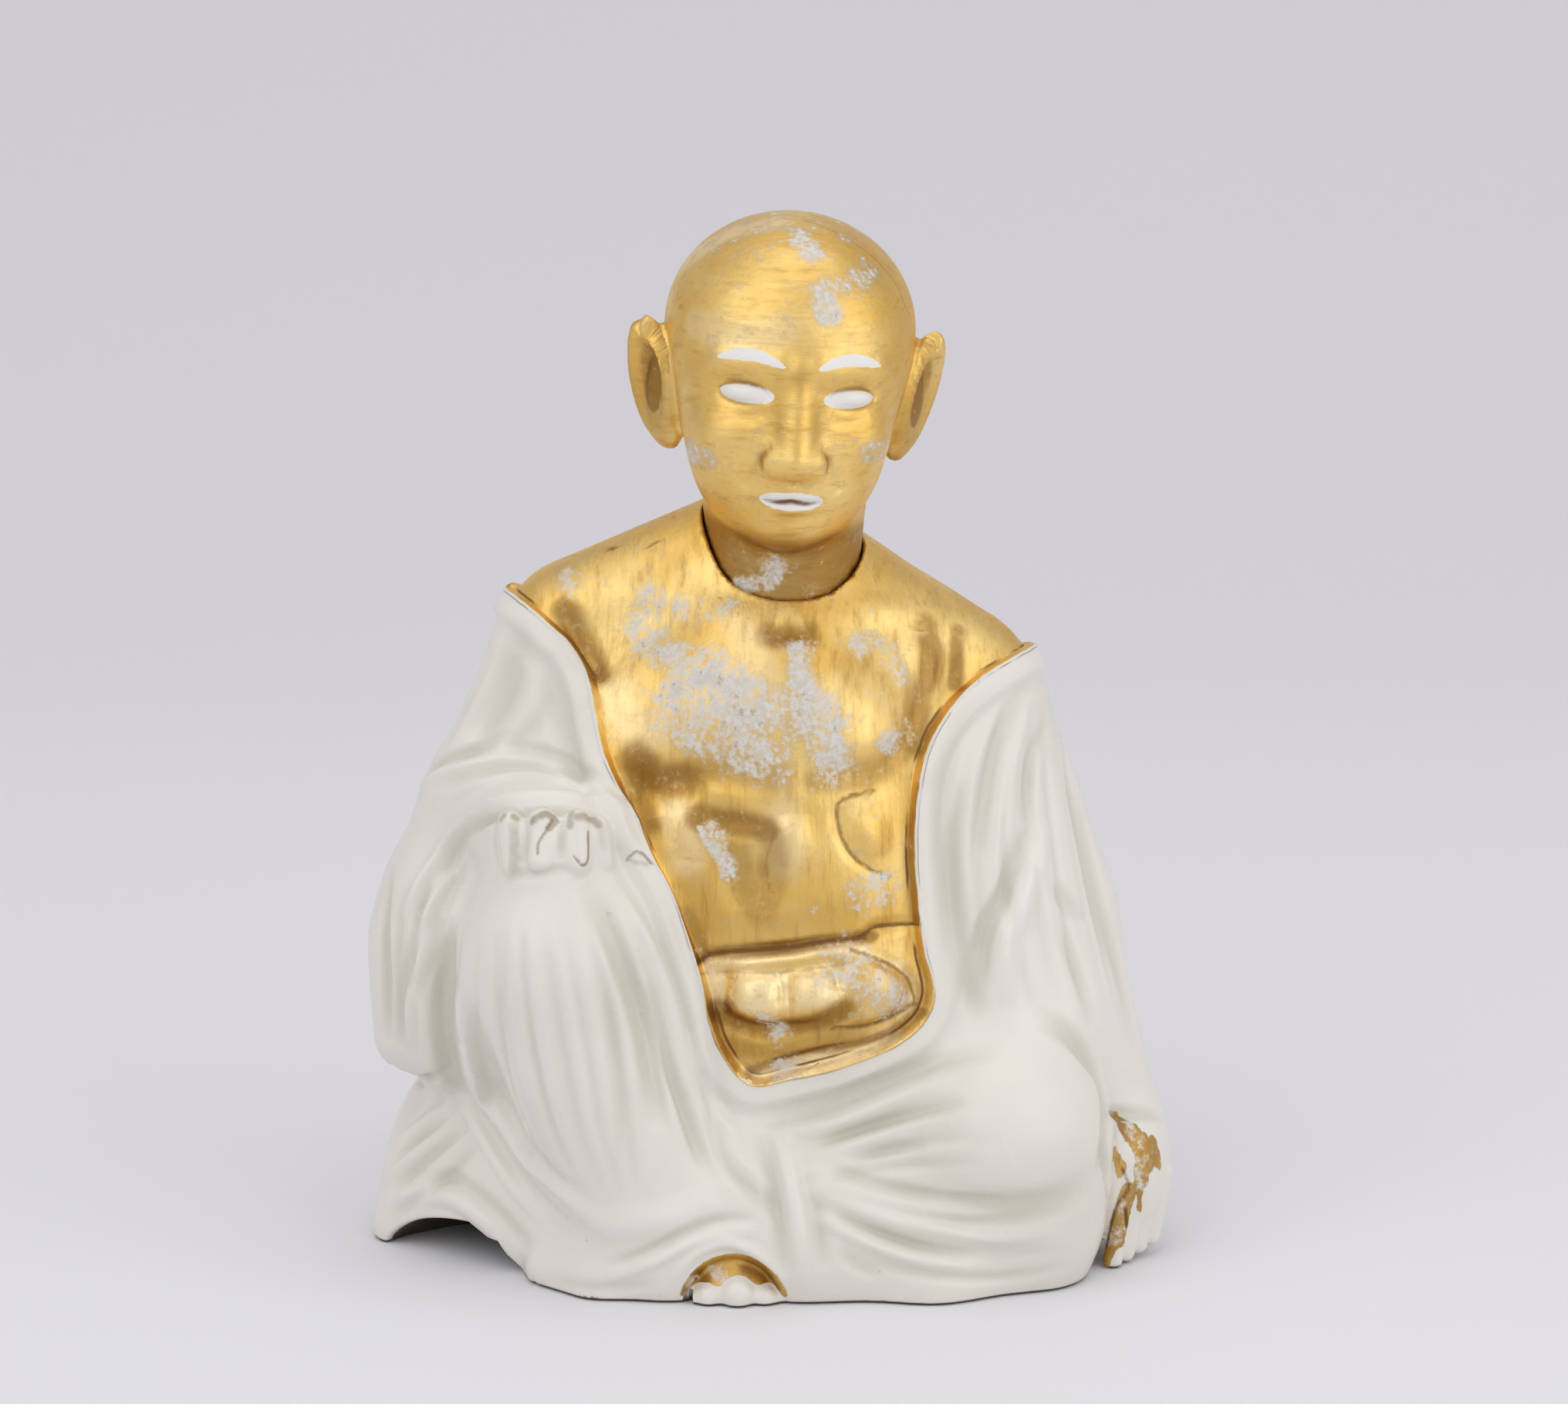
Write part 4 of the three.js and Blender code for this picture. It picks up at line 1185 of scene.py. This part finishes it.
skull = blend(
    5,
    egg([0, 1, 4.2], [11.8, 13, 10.8]),
    egg([0, -3, -4.4], [9.4, 9.2, 9.6]),
    egg([0, -5.6, -8.2], [6.6, 6.6, 7]),
)
face = blend(
    1.6,
    blend(3, skull, limb([0, 2, -4], [0.4, 0.5, -9], 7.2, 7)),
    egg([0, -9.4, -12.4], [3.2, 2.6, 2.4]),
    limb([0, -12.1, 1.4], [0, -13.3, -5.6], 0.9, 1.7),
    *both(lambda side: egg([side * 5.4, -7.6, -4.2], [3.6, 3.8, 3.4])),
    *both(lambda side: egg([side * 1.8, -12.2, -6], [1.1, 1.4, 1.1])),
    *both(lambda side: limb([side * 1.8, -11.5, 2.8], [side * 6.8, -8.8, 2.8], 1, 0.9)),
)
eyes = both(lambda side: egg([side * 4.6, -9.2, 0.1], [2.5, 2.5, 1.35]))
upper_lip = blend(
    0.8,
    *both(lambda side: limb([side * 2.9, -11.1, -9.35], [side * 0.7, -12.2, -8.85], 0.35, 0.8)),
)
lower_lip = egg([0, -11.6, -10.3], [2.4, 1.25, 0.85])
lips = blend(0.25, upper_lip, lower_lip)


def ear(side):
    """A plate set at a slant, with a rolled rim, a hollow shell and a long lobe."""
    place = np.array([side * 12, 1, -1.6])
    turn = np.array(Euler((0, side * 0.22, side * -0.5), "ZYX").to_matrix())

    def local(form):
        return lambda places: form((places - place) @ turn)

    def rim(places):
        around = (np.hypot(places[:, 1] / 2.8, (places[:, 2] - 0.3) / 5.0) - 1) * 3.6
        return np.hypot(around, places[:, 0] - side * 0.6) - 0.8

    lobe = egg([side * 0.2, -0.6, -4.8], [1.1, 1.7, 2])
    plate = blend(0.6, egg([0, 0, 0], [1.3, 3.2, 5.7]), rim, lobe)
    shell = egg([side * 1.6, -0.2, 0.5], [1.6, 1.9, 3.5])
    root = egg([side * 10.4, 1, -2], [2.6, 2.2, 4.4])
    return blend(0.6, root, local(cut(0.6, plate, shell))), local(shell)


def neck(places):
    around = around_neck(places)
    rise = np.clip((places[:, 2] - NECK_FOOT) / (SEAT_TOP - NECK_FOOT), 0, 1)
    radius = NECK_FOOT_RADIUS + (NECK_TOP_RADIUS - NECK_FOOT_RADIUS) * rise
    radius = radius - NECK_TAPER * np.maximum(places[:, 2] - SEAT_TOP, 0)
    side = around - radius
    return np.maximum(side, np.maximum(NECK_FOOT - places[:, 2], places[:, 2] - NECK_CROWN))


features = blend(0.5, face, lips, *eyes)
(left_ear, left_shell), (right_ear, right_shell) = both(ear)
ear_hollows = blend(0.1, left_shell, right_shell)
sculpted = blend(0.8, features, left_ear, right_ear)
head_form = blend(NECK_FILLET, lambda places: sculpted(to_head(places)), neck)
face_lines = []


def face_line(reach, height, tone, *spots):
    """A stroke of the face, through spots in the head's own shares."""
    line = smooth_line(spots, FACE_STEP)
    face_lines.append((reach, height, tone, settle(features, line, 4)[0]))


def face_pair(reach, height, tone, *spots):
    """The same stroke on both halves of the face."""
    for side in (-1, 1):
        face_line(reach, height, tone, *[(side * x, y, z) for x, y, z in spots])


# The third number of each stroke is how dark it is painted: drawn lines at the lids and between the
# lips, and painted shade in the creases and hollows of the face
# Upper and lower lid, and the crease above the eye and the hollow below it
face_pair(0.7, -0.3, 0.7, (2.2, -11, 0), (3.4, -11.3, 0.75), (4.7, -11, 0.98), (6.2, -10, 0.6),
          (7.2, -9, -0.1))
face_pair(0.6, -0.2, 0.45, (2.2, -11, -0.1), (3.5, -11.4, -0.75), (4.8, -11, -0.95),
          (6.2, -10, -0.6), (7.2, -9, -0.1))
face_pair(0.7, -0.16, 0.35, (2.5, -11, 1.2), (4.7, -11, 1.95), (6.9, -9.4, 1.0))
face_pair(1.1, -0.2, 0.25, (2.6, -11, -1.6), (4.6, -11, -2.3), (6.4, -10, -1.9))
# From the nose past the mouth, round the wing of the nose, and the channel under it
face_pair(1.2, -0.3, 0.2, (2.4, -12, -5.0), (3.2, -11.4, -6.6), (3.9, -10.6, -8.6))
face_pair(0.7, -0.25, 0.5, (1.9, -12.6, -4.8), (2.7, -12, -5.8), (2.3, -12, -6.9))
face_pair(0.8, -0.25, 0.1, (0, -12.3, -7.0), (0, -12.3, -8.2))
# Between the lips, and under the lower one
face_line(0.6, -0.3, 0.85, (-2.9, -11.3, -9.3), (-1.4, -12, -9.62), (0, -12.4, -9.5),
          (1.4, -12, -9.62), (2.9, -11.3, -9.3))
face_line(1.0, -0.22, 0.2, (-1.4, -12, -11.4), (0, -12, -11.55), (1.4, -12, -11.4))


def shaped_head(places):
    """The head's corners moved onto its form, then pressed by the strokes of the face. Also gives
    the strokes' depth and how dark each is painted."""
    places = drawn_onto(head_form, places, longest=0.6, farthest=2.5)
    local = to_head(places)
    out = slope_of(head_form, places)
    lift = np.zeros(len(places))
    painted_dark = np.zeros(len(places))
    for reach, height, tone, line in face_lines:
        near = close_to(line, local, reach)
        if len(near):
            d, _, along, _ = nearest_on(line, local[near])
            q = np.minimum(d / reach, 1)
            fade = np.clip(np.sin(math.pi * along), 0, 1) ** 0.5
            lift[near] += (1 - q * q) ** 2 * fade * height
            thin = np.clip(1 - d / DARK_REACH, 0, 1) * tone * fade
            painted_dark[near] = np.maximum(painted_dark[near], thin)
    places = places + lift[:, None] * out
    places[:, 2] = np.maximum(places[:, 2], NECK_FOOT)
    return places, lift, painted_dark


head = merged_copy(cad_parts["head"], "gilded_head")
remeshed(head, ROUGH)
set_corners(head, to_metres(shaped_head(to_shares(corners(head)))[0]))
remeshed(head, HEAD_VOXEL)
places, lift, painted_dark = shaped_head(to_shares(corners(head)))
set_corners(head, to_metres(places))
softened(head, SKIN_ROUNDS)
shade_smooth(head)


def lens(x, middle, half_length, half_height):
    """Half the height, at x, of a patch with rounded ends."""
    return half_height * np.sqrt(np.clip(1 - ((x - middle) / half_length) ** 2, 0, 1))


places = to_shares(corners(head))
local = to_head(places)
x, y, z = local.T
white = np.zeros(len(places))

# White glaze kept for the eyes, the brows and the lips, on the front of the face only
for side in (-1, 1):
    lid = lens(side * x, 4.7, 2.45, 0.92)
    white = np.maximum(white, ramp(lid - np.abs(z), -0.15, 0.2))
    arch = 3.0 + 0.75 * np.sin(np.clip((side * x - 1.6) / 6.2, 0, 1) * math.pi)
    thick = lens(side * x, 4.6, 3.1, 0.62)
    white = np.maximum(white, ramp(thick - np.abs(z - arch), -0.1, 0.18))
above = z + 9.5
mouth = np.hypot(x / 3.0, above / np.where(above > 0, 0.8, 1.05))
white = np.maximum(white, ramp(-mouth, -1.08, -0.92))
white *= ramp(slope_of(sculpted, local)[:, 1], 0.1, -0.3) * (y < -7)

# Worn patches, thin outlines over the crown, and painted highlights on the crown and the forehead
marks.clear()
wear(2.4, 0.8, (1040, 312), (1048, 326))
wear(2.6, 0.8, (1068, 384), (1072, 402))
wear(2.6, 0.5, (1100, 372), (1125, 352))
wear(1.8, 0.75, (962, 758), (990, 756), (1000, 750))
wear(1.6, 0.55, (1000, 728), (1006, 734))
wear(2.4, 0.6, (893, 585), (912, 592))
wear(2.2, 0.5, (1130, 585), (1145, 580))
outline(0.3, 0.45, (1016, 284), (1060, 292), (1116, 322), (1156, 362), (1176, 404))
outline(0.3, 0.35, (872, 400), (892, 344), (934, 304), (984, 284))
paint_highlight(3.0, 0.8, (900, 330), (950, 300), (1000, 290))
paint_highlight(3.0, 0.5, (905, 420), (960, 440), (1010, 430))
fields = painted(places, head_form)

# Painted shade, brown on the gold: under the jaw, at the root of the brows, in the ears, beside the
# nose, at the sides
crown = ramp(z, 9.5, 14.5)
under_jaw = ramp(-z, 12.0, 14.5)
brow_root = bump(x, 0, 1.6) * bump(z, 2.2, 2.0) * (y < 0)
in_ear = ramp(-ear_hollows(local), -0.35, 0.2)
beside_nose = bump(np.abs(x), 2.0, 1.2) * bump(z, -1.5, 5.0) * (y < 0)
sides = ramp(np.abs(x), 8.5, 11.5) * ramp(z, 4.0, -4.0)
store(head, "worn", np.maximum(fields["worn"], 0.3 * crown))
store(head, "dark_line", np.maximum(fields["dark_line"], painted_dark))
store(head, "pale", fields["pale"])
store(head, "white", white)
store(head, "hollow", np.clip(-lift * 2.2, 0, 2))
shades = [0.75 * under_jaw, 0.5 * brow_root, 0.95 * in_ear, 0.4 * beside_nose, 0.4 * sides]
store(head, "shade", np.maximum.reduce(shades))
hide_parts("head")
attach(head, "root")

gilt = Finish("worn_gilding")
dark = gilt.attribute("dark_line")
white_part = gilt.ramp(gilt.attribute("white"), 0.45, 0.6)
hollow = gilt.attribute("hollow")
tone, rough, bare, bare_tone, scratch = gold_coat(gilt, hollow, dark, (0.4, 1, 2.6))
kept = gilt.math("MULTIPLY", gilt.math("SUBTRACT", 1.0, bare), gilt.math("SUBTRACT", 1.0, white_part))
bare_tone = gilt.mix(white_part, bare_tone, GLAZE_THIN)
bare_tone = gilt.mix(gilt.ramp(dark, 0.2, 0.75), bare_tone, OUTLINE)
gilt.feed(gilt.shader, {
    "Base Color": gilt.mix(kept, bare_tone, tone),
    "Metallic": kept,
    "Roughness": gilt.mix(kept, 0.3, rough, "FLOAT"),
    "Normal": gilt.raised(scratch, 0.00014, gilt.raised(gilt.noise(60, 2), 0.0005)),
})
gilt.coat(head)

# Studio. A sweep of pale lilac-grey paper runs under the figure and up behind it, and three large
# soft lamps hang over it.

SWEEP_HALF_WIDTH = 2.2
SWEEP_FRONT = -1.6
SWEEP_BACK = 1.1
SWEEP_HEIGHT = 2.4
SWEEP_BEND = 0.7
SWEEP_TURNS = 16
PAPER_NEAR = (0.80, 0.79, 0.815, 1)
PAPER_FAR_SHADED = (0.68, 0.66, 0.68, 1)
ROOM_LIGHT = (0.95, 0.95, 0.985, 1)
ROOM_STRENGTH = 0.69
LAMP_AIM = Vector((0, 0, 0.08))

work = bmesh.new()
front = [work.verts.new((x, SWEEP_FRONT, 0)) for x in (-SWEEP_HALF_WIDTH, SWEEP_HALF_WIDTH)]
edges = [work.edges.new(front)]
moves = [(0, SWEEP_BACK - SWEEP_BEND - SWEEP_FRONT, 0)]
for i in range(SWEEP_TURNS):
    a = math.pi / 2 / SWEEP_TURNS * i
    b = math.pi / 2 / SWEEP_TURNS * (i + 1)
    moves.append((0, SWEEP_BEND * (math.sin(b) - math.sin(a)),
                  SWEEP_BEND * (math.cos(a) - math.cos(b))))
moves.append((0, 0, SWEEP_HEIGHT - SWEEP_BEND))
for move in moves:
    made = bmesh.ops.extrude_edge_only(work, edges=edges)["geom"]
    bmesh.ops.translate(work, verts=[g for g in made if isinstance(g, bmesh.types.BMVert)], vec=move)
    edges = [g for g in made if isinstance(g, bmesh.types.BMEdge) and len(g.link_faces) == 1]
    edges = [e for e in edges if abs(e.verts[0].co.x - e.verts[1].co.x) > 1]
bmesh.ops.recalc_face_normals(work, faces=work.faces)
sweep_mesh = bpy.data.meshes.new("sweep")
work.to_mesh(sweep_mesh)
work.free()
sweep = bpy.data.objects.new("sweep", sweep_mesh)
bpy.context.scene.collection.objects.link(sweep)
shade_smooth(sweep)

# Painted shade: the paper darkens towards the back and up the backdrop
paper = Finish("paper")
shade_towards_back = paper.ramp(paper.node("SeparateXYZ", {0: paper.place})["Y"], -0.1, 1.0)
paper.feed(paper.shader, {
    "Base Color": paper.mix(shade_towards_back, PAPER_NEAR, PAPER_FAR_SHADED),
    "Roughness": 0.9,
    "Specular IOR Level": 0.1,
})
paper.coat(sweep)

world = bpy.data.worlds.new("studio")
bpy.context.scene.world = world
world.use_nodes = True
room = world.node_tree.nodes["Background"]
room.inputs["Color"].default_value = ROOM_LIGHT
room.inputs["Strength"].default_value = ROOM_STRENGTH


def softbox(name, place, size, power):
    light = bpy.data.lights.new(name, "AREA")
    light.shape = "DISK"
    light.size = size
    light.energy = power
    lamp = bpy.data.objects.new(name, light)
    lamp.location = place
    lamp.rotation_euler = (LAMP_AIM - lamp.location).to_track_quat("-Z", "Y").to_euler()
    bpy.context.scene.collection.objects.link(lamp)


softbox("key", (-0.75, -0.8, 1.0), 1.5, 4.2)
softbox("fill", (0.95, -0.6, 0.6), 1.3, 3.4)
softbox("top", (0.1, 0.1, 1.4), 1.4, 3.2)
bpy.context.scene.view_settings.view_transform = "Standard"
